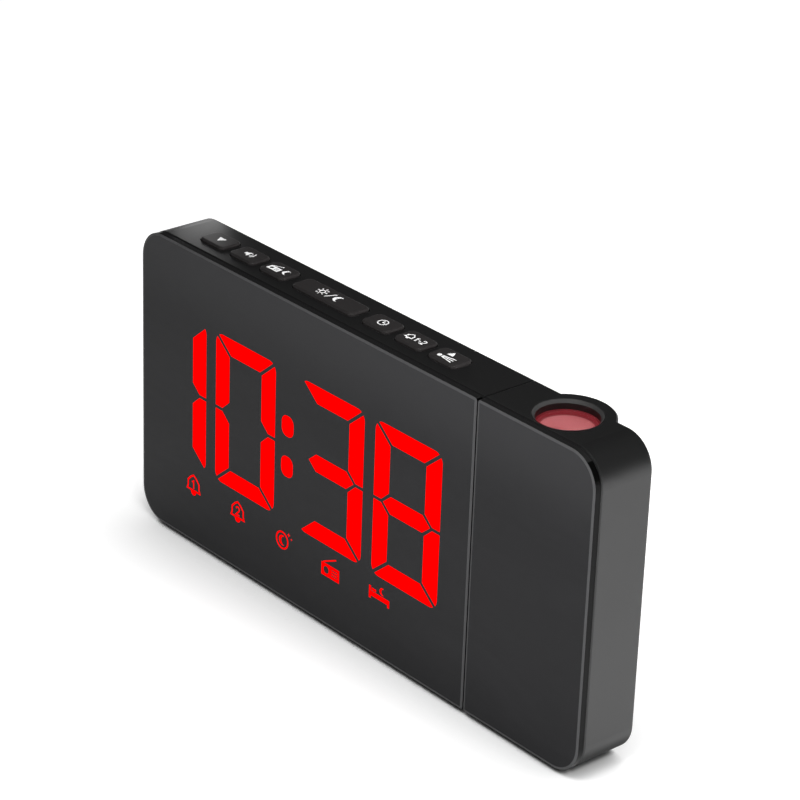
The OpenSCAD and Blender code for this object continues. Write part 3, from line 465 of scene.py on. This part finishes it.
def metal(name, colour, roughness=0.25):
    """Plated or rolled metal with fine lines in it."""
    material, tree, shader = new_material(name)
    surface = place_group(tree, "Drawn lines", roughness=roughness, spread=0.18)
    feed(tree, shader, {
        "Base Color": toned(tree, surface["Tone"], colour, 0.15),
        "Roughness": surface["Roughness"],
        "Metallic": 1.0,
        "Normal": bumped(tree, surface["Height"], 0.001 * MM),
    })
    return material


def clear(name, colour, roughness=0.02, glow=None):
    """Glass or clear plastic with faint smears; glow is a painted glow for light scattered inside
    it.
    """
    material, tree, shader = new_material(name)
    marks = place_group(tree, "Handling marks", roughness=roughness, amount=0.03)
    feed(tree, shader, {
        "Base Color": toned(tree, marks["Mask"], colour, 0.03),
        "Roughness": marks["Roughness"],
        "IOR": 1.49,
        "Transmission Weight": 1.0,
    })
    # Painted glow: the glass gives off a little light of its own.
    if glow:
        light = toned(tree, marks["Mask"], glow, 0.06)
        feed(tree, shader, {"Emission Color": light, "Emission Strength": 1.0})
    return material


def smoked_acrylic():
    """Polished dark panel: painted reflection at top, painted highlight on ground bevel, dark
    flank.
    """
    colours = bpy.context.scene.clock_colours
    material, tree, shader = new_material("smoked_acrylic")
    marks = place_group(tree, "Handling marks", roughness=0.1, amount=0.05)
    bevel = slanted(tree, BACKWARD, 0.5, 0.99)
    flank = slanted(tree, BACKWARD, -1.0, 0.5)
    level = slanted(tree, UPWARD, 0.8, 2.0)
    lower = toned(tree, marks["Mask"], colours.panel, 0.1)
    # Painted reflection: the face is mixed towards a lighter colour near the panel's top.
    high = ramp(tree, upward_part(tree, object_place(tree)), *colours.panel_reflection_fade)
    face = mix_colours(tree, high, lower, colours.panel_top_reflection)
    # Painted highlight on the bevel.
    face_and_bevel_highlight = mix_colours(tree, bevel, face, colours.panel_bevel_highlight)
    # The flank is darkened almost to black, its level faces a little less.
    edge = mix_colours(tree, level, grey(0.001), grey(0.008))
    satin = math_node(tree, "MULTIPLY", bevel, 0.25)
    ripple = place_group(tree, "Moulded grain", grain_size=6 * MM)
    feed(tree, shader, {
        "Base Color": mix_colours(tree, flank, face_and_bevel_highlight, edge),
        "Roughness": math_node(tree, "ADD", marks["Roughness"], satin),
        "Specular IOR Level": 0.08,
        "Normal": bumped(tree, ripple["Height"], 0.01 * MM, 0.5),
    })
    return material


def ring_plastic():
    """Black focus ring whose chamfer is painted paler as a highlight."""
    material, tree, shader = new_material("ring_plastic")
    surface = place_group(tree, "Moulded grain", grain_size=0.1 * MM, roughness=0.38, spread=0.1)
    base = toned(tree, surface["Tone"], grey(0.004), 0.12)
    # Painted highlight: the chamfer faces are mixed towards a paler grey.
    chamfer = slanted(tree, UPWARD, 0.4, 0.95)
    feed(tree, shader, {
        "Base Color": mix_colours(tree, chamfer, base, grey(0.03)),
        "Roughness": surface["Roughness"],
        "Specular IOR Level": 0.3,
        "Normal": bumped(tree, surface["Height"], 0.002 * MM),
    })
    return material


def case_plastic():
    """Fine matte grain; edges rubbed and with a painted highlight; underside coarser, in painted
    shade.
    """
    colours = bpy.context.scene.clock_colours
    material, tree, shader = new_material("case_plastic")
    surface = place_group(tree, "Moulded grain", grain_size=0.16 * MM, roughness=0.38, spread=0.12)
    corners = place_group(tree, "Edge wear", reach=0.25 * MM, strength=0.8)
    body = toned(tree, surface["Tone"], colours.case, 0.12)
    # Rubbed edges and a painted highlight: the corners turn paler.
    worn_and_highlit = mix_colours(tree, corners["Edge"], body, grey(0.1))
    normal = add_node(tree, "ShaderNodeNewGeometry").outputs["Normal"]
    # Painted shade: faces that turn downward are darkened almost to black, and made rougher.
    under = ramp(tree, upward_part(tree, normal), -0.05, -0.6)
    coarse = math_node(tree, "MULTIPLY", under, 0.5)
    feed(tree, shader, {
        "Base Color": mix_colours(tree, under, worn_and_highlit, grey(0.001)),
        "Roughness": math_node(tree, "ADD", surface["Roughness"], coarse),
        "Specular IOR Level": 0.55,
        "Normal": bumped(tree, surface["Height"], 0.004 * MM),
    })
    return material


def key_plastic():
    """Satin key caps, a little paler at their edges from rubbing and a painted highlight."""
    colours = bpy.context.scene.clock_colours
    return moulded("key_plastic", colours.key, roughness=0.42, grain=0.12 * MM,
                   relief=0.003 * MM, wear_and_highlight=0.5, worn_and_highlit=(0.12, 0.115, 0.115))


def key_print():
    """Pale ink of the signs on the keys."""
    colours = bpy.context.scene.clock_colours
    return moulded("key_print", colours.print, roughness=0.55, gloss=0.3, grain=0.1 * MM,
                   relief=0.002 * MM, tone=0.2)


def lit_red():
    """Light from the display, a shade brighter over each lamp."""
    scene = bpy.context.scene
    material, tree, shader = new_material("lit_red")
    surface = place_group(tree, "Moulded grain", grain_size=5 * MM)
    feed(tree, shader, {
        "Base Color": (0.05, 0.0, 0.0, 1),
        "Roughness": surface["Roughness"],
        "Specular IOR Level": 0.0,
        "Emission Color": toned(tree, surface["Tone"], scene.clock_colours.lit, 0.05),
        "Emission Strength": scene.clock_signs.glow,
    })
    return material


def red_glass():
    """Tinted window over the projector's lens, with a faint painted glow from inside."""
    colours = bpy.context.scene.clock_colours
    return clear("red_glass", colours.glass, glow=(0.1, 0.01, 0.013))


def circuit_board():
    """Green solder mask with paler copper tracks under it."""
    material, tree, shader = new_material("circuit_board")
    tracks = add_node(tree, "ShaderNodeTexBrick", {
        "Vector": object_place(tree),
        "Scale": 420.0,
        "Mortar Size": 0.03,
        "Bias": 0.0,
        "Color1": (0.004, 0.06, 0.02, 1),
        "Color2": (0.006, 0.085, 0.03, 1),
        "Mortar": (0.02, 0.15, 0.05, 1),
    })
    surface = place_group(tree, "Moulded grain", grain_size=0.8 * MM, roughness=0.3, spread=0.1)
    feed(tree, shader, {
        "Base Color": tracks.outputs["Color"],
        "Roughness": surface["Roughness"],
        "Normal": bumped(tree, tracks.outputs["Fac"], 0.02 * MM),
    })
    return material


# Finishes that have a function of their own
OWN_FINISHES = {
    "smoked_acrylic": smoked_acrylic,
    "ring_plastic": ring_plastic,
    "case_plastic": case_plastic,
    "key_plastic": key_plastic,
    "key_print": key_print,
    "lit_red": lit_red,
    "red_glass": red_glass,
    "circuit_board": circuit_board,
}
# Finishes that are one of the kinds above with their own values
PLAIN_FINISHES = {
    "red_diffuser": (moulded, dict(colour=(0.45, 0.02, 0.015), roughness=0.35, grain=0.4 * MM)),
    "black_film": (moulded, dict(colour=grey(0.004), roughness=0.6, grain=0.1 * MM)),
    "frame_plastic": (moulded, dict(colour=grey(0.002), roughness=0.65, gloss=0.1)),
    "inner_plastic": (moulded, dict(colour=grey(0.012), roughness=0.45)),
    "led_body": (moulded, dict(colour=(0.75, 0.68, 0.4), roughness=0.3)),
    "chip_resin": (moulded, dict(colour=(0.015, 0.015, 0.016), roughness=0.6, grain=0.08 * MM)),
    "white_plastic": (moulded, dict(colour=(0.72, 0.72, 0.69), roughness=0.4)),
    "paper_cone": (moulded, dict(colour=(0.03, 0.03, 0.032), roughness=0.85, grain=0.35 * MM,
                                 relief=0.03 * MM, tone=0.3)),
    "ferrite": (moulded, dict(colour=(0.035, 0.035, 0.04), roughness=0.55, grain=0.3 * MM)),
    "black_rubber": (moulded, dict(colour=grey(0.012), roughness=0.75, gloss=0.25,
                                   grain=0.25 * MM, relief=0.01 * MM)),
    "loom_jacket": (moulded, dict(colour=grey(0.015), roughness=0.6)),
    "rose_lens": (moulded, dict(colour=(0.45, 0.25, 0.255), roughness=0.25)),
    "plain_metal": (metal, dict(colour=(0.62, 0.61, 0.58))),
    "screw_steel": (metal, dict(colour=(0.09, 0.09, 0.095), roughness=0.4)),
    "gold_contact": (metal, dict(colour=(0.83, 0.62, 0.28), roughness=0.22)),
    "red_led": (clear, dict(colour=(0.9, 0.15, 0.1), roughness=0.1)),
    "clear_lens": (clear, dict(colour=(0.95, 0.97, 1.0))),
    "image_glass": (clear, dict(colour=(0.45, 0.48, 0.5))),
}


def finish(name):
    """The material of this name, built when it is first asked for."""
    made = bpy.data.materials.get("clock_" + name)
    if made:
        return made
    if name in OWN_FINISHES:
        return OWN_FINISHES[name]()
    kind, values = PLAIN_FINISHES[name]
    return kind(name, **values)


def dress(*slots):
    """Gives every frame piece of these slots its finish."""
    found = [row for row in frame["record"]["subparts"] if row["material_slot"] in slots]
    if not found:
        raise RuntimeError("no piece of the frame uses " + ", ".join(slots))
    for row in found:
        mesh = NODES[row["node"]].data
        mesh.materials.clear()
        mesh.materials.append(finish(row["material_slot"]))


# ---- Flat shapes: outlines in millimetres, first the outside and then its holes ----


def ribbon(points, width, closed=False):
    """Outline of a pen line of this width along points."""
    half = width / 2
    count = len(points)
    left, right = [], []
    for i, (x, y) in enumerate(points):
        normals = []
        if closed or i > 0:
            bx, by = points[i - 1]
            normals.append(Vector((by - y, x - bx)).normalized())
        if closed or i < count - 1:
            ax, ay = points[(i + 1) % count]
            normals.append(Vector((y - ay, ax - x)).normalized())
        middle = sum(normals, Vector((0, 0))).normalized()
        reach = half / max(middle.dot(normals[0]), LEAST_MITRE)
        left.append((x + middle.x * reach, y + middle.y * reach))
        right.append((x - middle.x * reach, y - middle.y * reach))
    if closed:
        return [left, right[::-1]]
    return [left + right[::-1]]


def arc(x, y, radius, start, end, steps):
    """Points on a circle's arc, with angles in degrees."""
    turns = [math.radians(start + (end - start) * i / steps) for i in range(steps + 1)]
    return [(x + radius * math.cos(a), y + radius * math.sin(a)) for a in turns]


def circle(x, y, radius):
    """Outline of a full circle."""
    return arc(x, y, radius, 0, 360, 28)[:-1]


def pen_circle(x, y, radius, pen):
    """A circle drawn with a pen, inside this radius."""
    return [circle(x, y, radius), circle(x, y, radius - pen)[::-1]]


def moved(shapes, dx, dy, scale=1.0):
    """The same shapes, scaled about the origin and then moved."""
    return [
        [[(x * scale + dx, y * scale + dy) for x, y in loop] for loop in shape] for shape in shapes
    ]


def numeral(digit, height, pen):
    """A plain 1 or 2, drawn with a pen."""
    w, h = height * 0.27, height / 2
    if digit == 1:
        return [ribbon([(-w, h * 0.45), (0.02, h - pen / 2), (0.02, -h)], pen)]
    top = arc(0, h - w, w, 165, -35, 12)
    return [ribbon(top + [(-w, -h + pen / 2), (w * 1.1, -h + pen / 2)], pen)]


def bell(pen, height):
    """Outline of a bell with a full clapper below it."""
    w, h = height * 0.46, height / 2
    right = [(w * 0.42, h * 0.72), (w * 0.86, h * 0.3), (w * 0.86, -h * 0.2), (w, -h * 0.55)]
    left = [(-x, y) for x, y in reversed(right)]
    body = left + [(0, h * 0.95)] + right
    clapper = arc(0, -h * 0.55 - pen / 2 - 0.02, w * 0.42, 180, 360, 10)
    return [ribbon(body, pen, closed=True), [clapper]]


def crescent(radius):
    """A moon whose inner arc meets the outer one at its two tips."""
    outer = arc(0, 0, radius, 60, 300, 24)
    inner = arc(radius * 0.5, 0, radius * 0.86, 268, 92, 20)
    return [[outer + inner]]


def sleeping_moon(pen):
    """A ring with a crescent in it and two small stars at its shoulder."""
    star = [(0, 0.75), (0.2, 0.2), (0.75, 0), (0.2, -0.2),
            (0, -0.75), (-0.2, -0.2), (-0.75, 0), (-0.2, 0.2)]
    moon = moved(crescent(1.7), -0.35, -0.4)
    large_star = moved([[star]], 2.6, 2.5, 0.95)
    small_star = moved([[star]], 3.9, 1.5, 0.6)
    return [pen_circle(-0.5, -0.4, 3.0, pen)] + moon + large_star + small_star


def radio(pen, width, height):
    """A table radio with a raised aerial; its dial and grille are cut out."""
    w, h = width / 2, height / 2
    box = [(-w, -h), (w, -h), (w, h * 0.72), (-w, h * 0.72)]
    dial = circle(-w * 0.46, -h * 0.14, h * 0.5)[::-1]
    slots = []
    for i in (-1, 0, 1):
        z = -h * 0.14 + i * h * 0.36
        slots.append([(w * 0.12, z - pen * 0.3), (w * 0.12, z + pen * 0.3),
                      (w * 0.8, z + pen * 0.3), (w * 0.8, z - pen * 0.3)])
    aerial = ribbon([(-w * 0.8, h * 0.74 + pen * 0.2), (w * 0.62, h * 1.9)], pen * 0.8)
    return [[box, dial] + slots, aerial]


def bed():
    """A bed seen from its side, with a small moon over it."""
    base = [(-4.2, -1.6), (-3.4, -1.6), (-3.4, -0.75), (3.4, -0.75), (3.4, -1.6), (4.2, -1.6),
            (4.2, 0.7), (-3.4, 0.7), (-3.4, 2.2), (-4.2, 2.2)]
    pillow = [(-3.1, 0.95), (-1.3, 0.95), (-1.3, 1.75), (-3.1, 1.75)]
    return [[base], [pillow]] + moved(crescent(1.15), 1.3, 2.2)


def speaker_sign(pen):
    """A loudspeaker with two sound waves."""
    body = [(-1.9, -0.55), (-1.1, -0.55), (-0.1, -1.35), (-0.1, 1.35), (-1.1, 0.55), (-1.9, 0.55)]
    waves = [ribbon(arc(-0.3, 0, r, -42, 42, 10), pen) for r in (1.1, 1.95)]
    return [[body]] + waves


def lamp_sign(pen):
    """A small sun for the lamp, a slash, and a moon for the snooze."""
    starts = arc(0, 0, 1.25, 0, 360, 8)[:-1]
    ends = arc(0, 0, 1.9, 0, 360, 8)[:-1]
    rays = [ribbon(ray, pen) for ray in zip(starts, ends)]
    sun = [pen_circle(0, 0, 0.95, pen)] + rays
    slash = [ribbon([(-0.8, -1.7), (0.8, 1.7)], pen)]
    return moved(sun, -3.4, 0) + slash + moved(crescent(1.55), 3.2, 0)


def dial_sign(pen):
    """A clock face with its hands."""
    hands = ribbon([(0, 0.95), (0, -0.1), (0.75, -0.1)], pen)
    return [pen_circle(0, 0, 1.6, pen), hands]


def beam_sign(pen):
    """A lens that throws a widening beam."""
    lens = [[circle(-2.6, 0, 0.62)]]
    rays = [ribbon([(-1.6, s * 0.35), (2.6, s * 1.0)], pen) for s in (-1, 1)]
    return lens + rays + [ribbon([(-1.6, 0), (2.6, 0)], pen)]


def triangle_sign(up):
    """A full triangle that points up or down."""
    s = 1 if up else -1
    return [[[(-1.35, -1.05 * s), (1.35, -1.05 * s), (0, 1.25 * s)]]]


def key_signs(pen):
    """The sign on each key."""
    alarm = moved(bell(pen, 2.9), -2.3, 0) + moved(numeral(1, 2.1, pen), 0.3, 0)
    alarm += [ribbon([(1.0, 0), (1.8, 0)], pen)] + moved(numeral(2, 2.1, pen), 2.8, 0)
    return {
        "key_down": triangle_sign(False),
        "key_volume": speaker_sign(pen),
        "key_radio": moved(radio(pen, 4.4, 2.5), -1.6, -0.5) + moved(crescent(1.3), 2.9, 0),
        "key_snooze": lamp_sign(pen),
        "key_set": dial_sign(pen),
        "key_alarm": alarm,
        "key_up": moved(triangle_sign(True), -0.6, 1.4, 0.85) + moved(beam_sign(pen), 0.1, -1.3),
    }


def indicator_signs(pen):
    """The five lit indicators, from left to right."""
    numbered = []
    for digit in (1, 2):
        numbered.append(bell(pen, 6.4) + moved(numeral(digit, 2.7, pen * 0.85), 0, 0.15))
    moon = moved(sleeping_moon(pen), 0, 0, 0.92)
    low_radio = moved(radio(pen, 7.6, 4.5), 0, -1.0)
    return [*numbered, moon, low_radio, bed()]


# ---- Solids ----


def add_object(name, body):
    """Turns a bmesh into an object of the scene."""
    mesh = bpy.data.meshes.new(name)
    body.to_mesh(mesh)
    body.free()
    made = bpy.data.objects.new(name, mesh)
    bpy.context.scene.collection.objects.link(made)
    return made


def film_object(name, shapes, thickness, place):
    """One closed thin solid for each shape; place carries its flat side to the surface."""
    body = bmesh.new()
    above = Vector((0, 0, thickness * PROUD))
    below = Vector((0, 0, thickness * (1 - PROUD)))
    for shape in shapes:
        loops = [[Vector((x * MM, y * MM, 0)) for x, y in loop] for loop in shape]
        flat = [point for loop in loops for point in loop]
        upper = [body.verts.new(point + above) for point in flat]
        lower = [body.verts.new(point - below) for point in flat]
        for triangle in tessellate_polygon(loops):
            body.faces.new([upper[i] for i in triangle])
            body.faces.new([lower[i] for i in reversed(triangle)])
        first = 0
        for loop in loops:
            ring = list(range(first, first + len(loop)))
            for a, b in zip(ring, ring[1:] + ring[:1]):
                body.faces.new((upper[a], upper[b], lower[b], lower[a]))
            first += len(loop)
    bmesh.ops.recalc_face_normals(body, faces=body.faces)
    body.transform(place)
    return add_object(name, body)


# ---- The display ----


def bar_islands(node):
    """The separate solids in a frame piece, each as a list of faces in a new bmesh."""
    body = bmesh.new()
    body.from_mesh(NODES[node].data)
    bmesh.ops.remove_doubles(body, verts=body.verts, dist=0.001 * MM)
    islands, seen = [], set()
    for seed in body.faces:
        if seed in seen:
            continue
        island, waiting = [], [seed]
        seen.add(seed)
        while waiting:
            face = waiting.pop()
            island.append(face)
            for edge in face.edges:
                for other in edge.link_faces:
                    if other not in seen:
                        seen.add(other)
                        waiting.append(other)
        islands.append(island)
    return body, islands


def box_of(points):
    """Lowest and highest corner of the box round these vertices."""
    low = Vector([min(point.co[i] for point in points) for i in range(3)])
    high = Vector([max(point.co[i] for point in points) for i in range(3)])
    return low, high


def bar_middles(node):
    """Middles of the separate solids in a frame piece, from left to right."""
    body, islands = bar_islands(node)
    middles = []
    for island in islands:
        low, high = box_of({vertex for face in island for vertex in face.verts})
        middles.append((low + high) / 2)
    body.free()
    return sorted(middles, key=lambda middle: middle.x)


def bar_name(centre, low, high):
    """Which of a digit's seven bars has this middle."""
    across = (centre.x - low.x) / (high.x - low.x)
    up = (centre.z - low.z) / (high.z - low.z)
    if 0.3 < across < 0.7:
        return "top" if up > 0.75 else "bottom" if up < 0.25 else "middle"
    return ("upper " if up > 0.5 else "lower ") + ("right" if across > 0.5 else "left")


def light_up(made):
    """Makes a film a lit part of the display."""
    made.data.materials.append(finish("lit_red"))
    # Lamps much brighter than the display drown the light that it throws on the floor
    made.visible_diffuse = False
    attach(made, "main_body")


def light_bars(node, wanted, film):
    """A thin lit film on the window over each wanted bar; None lights them all."""
    body, islands = bar_islands(node)
    low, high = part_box(node)
    for island in islands:
        points = {vertex for face in island for vertex in face.verts}
        box_low, box_high = box_of(points)
        if wanted is not None and bar_name((box_low + box_high) / 2, low, high) not in wanted:
            bmesh.ops.delete(body, geom=list(points), context="VERTS")
            continue
        for vertex in points:
            back = (vertex.co.y - low.y) / (high.y - low.y)
            vertex.co.y = FACE_Y + (back - PROUD) * film
    light_up(add_object("lit_" + node.replace("_segments", ""), body))


# ---- Operators: one for each piece or group of like pieces ----


class CLOCK_OT_cases(bpy.types.Operator):
    """Finish the matte cases, the frames in the groove, the battery door, screws and feet."""

    bl_idname = "clock.cases"
    bl_label = "Cases"

    def execute(self, context):
        dress("case_plastic", "frame_plastic", "screw_steel", "black_rubber")
        return {"FINISHED"}


class CLOCK_OT_panels(bpy.types.Operator):
    """Finish the two smoked front panels."""

    bl_idname = "clock.panels"
    bl_label = "Front panels"

    def execute(self, context):
        dress("smoked_acrylic")
        return {"FINISHED"}


class CLOCK_OT_digits(bpy.types.Operator):
    """Light the bars of the four digits and the colon."""

    bl_idname = "clock.digits"
    bl_label = "Digits"

    def execute(self, context):
        film = context.scene.clock_signs.film
        for node, digit in LIT_TIME.items():
            light_bars(node, LIT_BARS[digit], film)
        light_bars("colon_dots", None, film)
        return {"FINISHED"}


class CLOCK_OT_indicators(bpy.types.Operator):
    """Light the five small signs under the digits."""

    bl_idname = "clock.indicators"
    bl_label = "Indicators"

    def execute(self, context):
        signs = context.scene.clock_signs
        shapes = indicator_signs(signs.lit_pen / MM)
        middles = bar_middles("icon_bars")
        if len(middles) != len(shapes):
            raise RuntimeError("the indicator bars and the signs differ in number")
        upright = Matrix.Rotation(math.radians(90), 4, "X")
        for i, (middle, shape) in enumerate(zip(middles, shapes)):
            place = Matrix.Translation((middle.x, FACE_Y, middle.z)) @ upright
            light_up(film_object(f"lit_sign_{i + 1}", shape, signs.film, place))
        return {"FINISHED"}


class CLOCK_OT_keys(bpy.types.Operator):
    """Finish the keys and print a sign on each."""

    bl_idname = "clock.keys"
    bl_label = "Keys"

    def execute(self, context):
        dress("key_plastic")
        signs = context.scene.clock_signs
        for key, shapes in key_signs(signs.key_pen / MM).items():
            low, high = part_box(key)
            place = Matrix.Translation(((low.x + high.x) / 2, (low.y + high.y) / 2, high.z))
            made = film_object("print_" + key, shapes, signs.film, place)
            made.data.materials.append(finish("key_print"))
            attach(made, key)
        return {"FINISHED"}


class CLOCK_OT_projector(bpy.types.Operator):
    """Finish the focus ring, the tinted window, the lens and the optics."""

    bl_idname = "clock.projector"
    bl_label = "Projector"

    def execute(self, context):
        dress("ring_plastic", "red_glass", "rose_lens", "clear_lens", "image_glass", "red_led")
        return {"FINISHED"}


class CLOCK_OT_insides(bpy.types.Operator):
    """Finish the boards, speaker, sockets, coin cell and pivot."""

    bl_idname = "clock.insides"
    bl_label = "Inner parts"

    def execute(self, context):
        dress("black_film", "inner_plastic", "red_diffuser", "circuit_board", "led_body",
              "chip_resin", "plain_metal", "gold_contact", "white_plastic", "paper_cone",
              "ferrite", "loom_jacket")
        return {"FINISHED"}


def build_floor(stage):
    """Pale floor, shaded beside the clock and dark in the thin line where they meet."""
    body = bmesh.new()
    bmesh.ops.create_grid(body, x_segments=1, y_segments=1, size=FLOOR_REACH)
    floor = add_object("floor", body)
    material, tree, shader = new_material("floor_white")
    surface = place_group(tree, "Moulded grain", grain_size=30 * MM, roughness=0.6, spread=0.05)
    contact = ramp(tree, openness(tree, stage.contact_reach, samples=8), 0.45, 0.65)
    wide = openness(tree, stage.shade_reach, samples=16)
    beside = math_node(tree, "MULTIPLY", wide, stage.shade_depth)
    beside = math_node(tree, "ADD", beside, 1 - stage.shade_depth)
    shade = math_node(tree, "MULTIPLY", beside, contact)
    white = mix_colours(tree, surface["Tone"], grey(0.8), grey(0.82))
    lifted = math_node(tree, "MULTIPLY", seen_or_mirrored(tree), shade)
    feed(tree, shader, {
        "Base Color": mix_colours(tree, shade, grey(0.01), white),
        "Roughness": surface["Roughness"],
        "Emission Color": mix_colours(tree, lifted, grey(0), grey(stage.floor_lift)),
        "Emission Strength": 1.0,
    })
    floor.data.materials.append(material)


def build_surround(stage):
    """Room light and what is seen of the room, both darker overhead than at the horizon."""
    world = bpy.data.worlds.new("studio")
    bpy.context.scene.world = world
    world.use_nodes = True
    tree = world.node_tree
    direction = add_node(tree, "ShaderNodeTexCoord").outputs["Generated"]
    overhead = ramp(tree, upward_part(tree, direction), 0.0, 0.12, shape="LINEAR")
    seen = mix_colours(tree, overhead, grey(1), grey(0.05))
    light = mix_colours(tree, overhead, grey(stage.ambient), grey(stage.ambient * 0.4))
    room = mix_colours(tree, seen_or_mirrored(tree), light, seen)
    feed(tree, tree.nodes["Background"], {"Color": room})


def add_lamp(name, place, aim, size, power, glint=False):
    """A soft lamp that the camera doesn't see; a glint lamp only shows in shiny surfaces."""
    light = bpy.data.lights.new(name, "AREA")
    light.shape = "RECTANGLE"
    light.size, light.size_y = size
    light.energy = power
    lamp = bpy.data.objects.new(name, light)
    bpy.context.scene.collection.objects.link(lamp)
    lamp.location = place
    lamp.rotation_euler = (Vector(aim) - Vector(place)).to_track_quat("-Z", "Y").to_euler()
    lamp.visible_camera = False
    lamp.visible_glossy = glint
    lamp.visible_diffuse = not glint


def add_camera(stage):
    """The camera, turned about its own axis so that the clock stands as it should."""
    data = bpy.data.cameras.new("camera")
    data.lens = stage.lens
    data.sensor_width = FRAME_WIDTH
    data.clip_start = 0.01
    camera = bpy.data.objects.new("camera", data)
    bpy.context.scene.collection.objects.link(camera)
    place, aim = Vector(stage.camera_place), Vector(stage.camera_aim)
    camera.location = place
    turn = (aim - place).to_track_quat("-Z", "Y").to_matrix().to_4x4()
    turn = turn @ Matrix.Rotation(stage.camera_roll, 4, "Z")
    camera.rotation_euler = turn.to_euler()
    bpy.context.scene.camera = camera


class CLOCK_OT_stage(bpy.types.Operator):
    """Make the floor, the surround, the lamps and the camera."""

    bl_idname = "clock.stage"
    bl_label = "Stage"

    def execute(self, context):
        stage = context.scene.clock_stage
        context.scene.view_settings.view_transform = "Standard"
        build_floor(stage)
        build_surround(stage)
        add_lamp("side_lamp", place=(0.9, -0.1, 0.16), aim=MIDDLE, size=(0.6, 0.3),
                 power=stage.side_lamp)
        add_lamp("back_lamp", place=(0.3, 0.6, 0.9), aim=MIDDLE, size=(0.8, 0.8),
                 power=stage.back_lamp)
        add_lamp("front_lamp", place=(0.1, -0.12, 0.26), aim=(0.03, 0, 0.07), size=(0.1, 0.1),
                 power=stage.front_lamp)
        add_lamp("left_card", place=(-0.111, 0.022, 0.102), aim=(-0.088, 0.004, 0.088),
                 size=(0.015, 0.01), power=stage.left_card, glint=True)
        add_camera(stage)
        return {"FINISHED"}


class CLOCK_PT_panel(bpy.types.Panel):
    """Lists the clock's operators and settings."""

    bl_label = "Projection alarm clock"
    bl_idname = "CLOCK_PT_panel"
    bl_space_type = "VIEW_3D"
    bl_region_type = "UI"
    bl_category = "Clock"

    def draw(self, context):
        for operator in OPERATORS:
            self.layout.operator(operator.bl_idname)
        for group in SETTINGS:
            settings = getattr(context.scene, group)
            box = self.layout.box()
            for name in settings.__annotations__:
                box.prop(settings, name)


SETTINGS = {"clock_colours": ClockColours, "clock_signs": ClockSigns, "clock_stage": ClockStage}
OPERATORS = (
    CLOCK_OT_cases, CLOCK_OT_panels, CLOCK_OT_digits, CLOCK_OT_indicators, CLOCK_OT_keys,
    CLOCK_OT_projector, CLOCK_OT_insides, CLOCK_OT_stage,
)


def register():
    """Makes the operators, the panel and the settings known."""
    for kind in (*SETTINGS.values(), *OPERATORS, CLOCK_PT_panel):
        bpy.utils.register_class(kind)
    for name, kind in SETTINGS.items():
        setattr(bpy.types.Scene, name, bpy.props.PointerProperty(type=kind))


def unregister():
    """Takes them away again."""
    for name in SETTINGS:
        delattr(bpy.types.Scene, name)
    for kind in reversed((*SETTINGS.values(), *OPERATORS, CLOCK_PT_panel)):
        bpy.utils.unregister_class(kind)


def main():
    """Builds the looks."""
    register()
    bpy.ops.clock.cases()
    bpy.ops.clock.panels()
    bpy.ops.clock.digits()
    bpy.ops.clock.indicators()
    bpy.ops.clock.keys()
    bpy.ops.clock.projector()
    bpy.ops.clock.insides()
    bpy.ops.clock.stage()


if __name__ == "__main__":
    main()
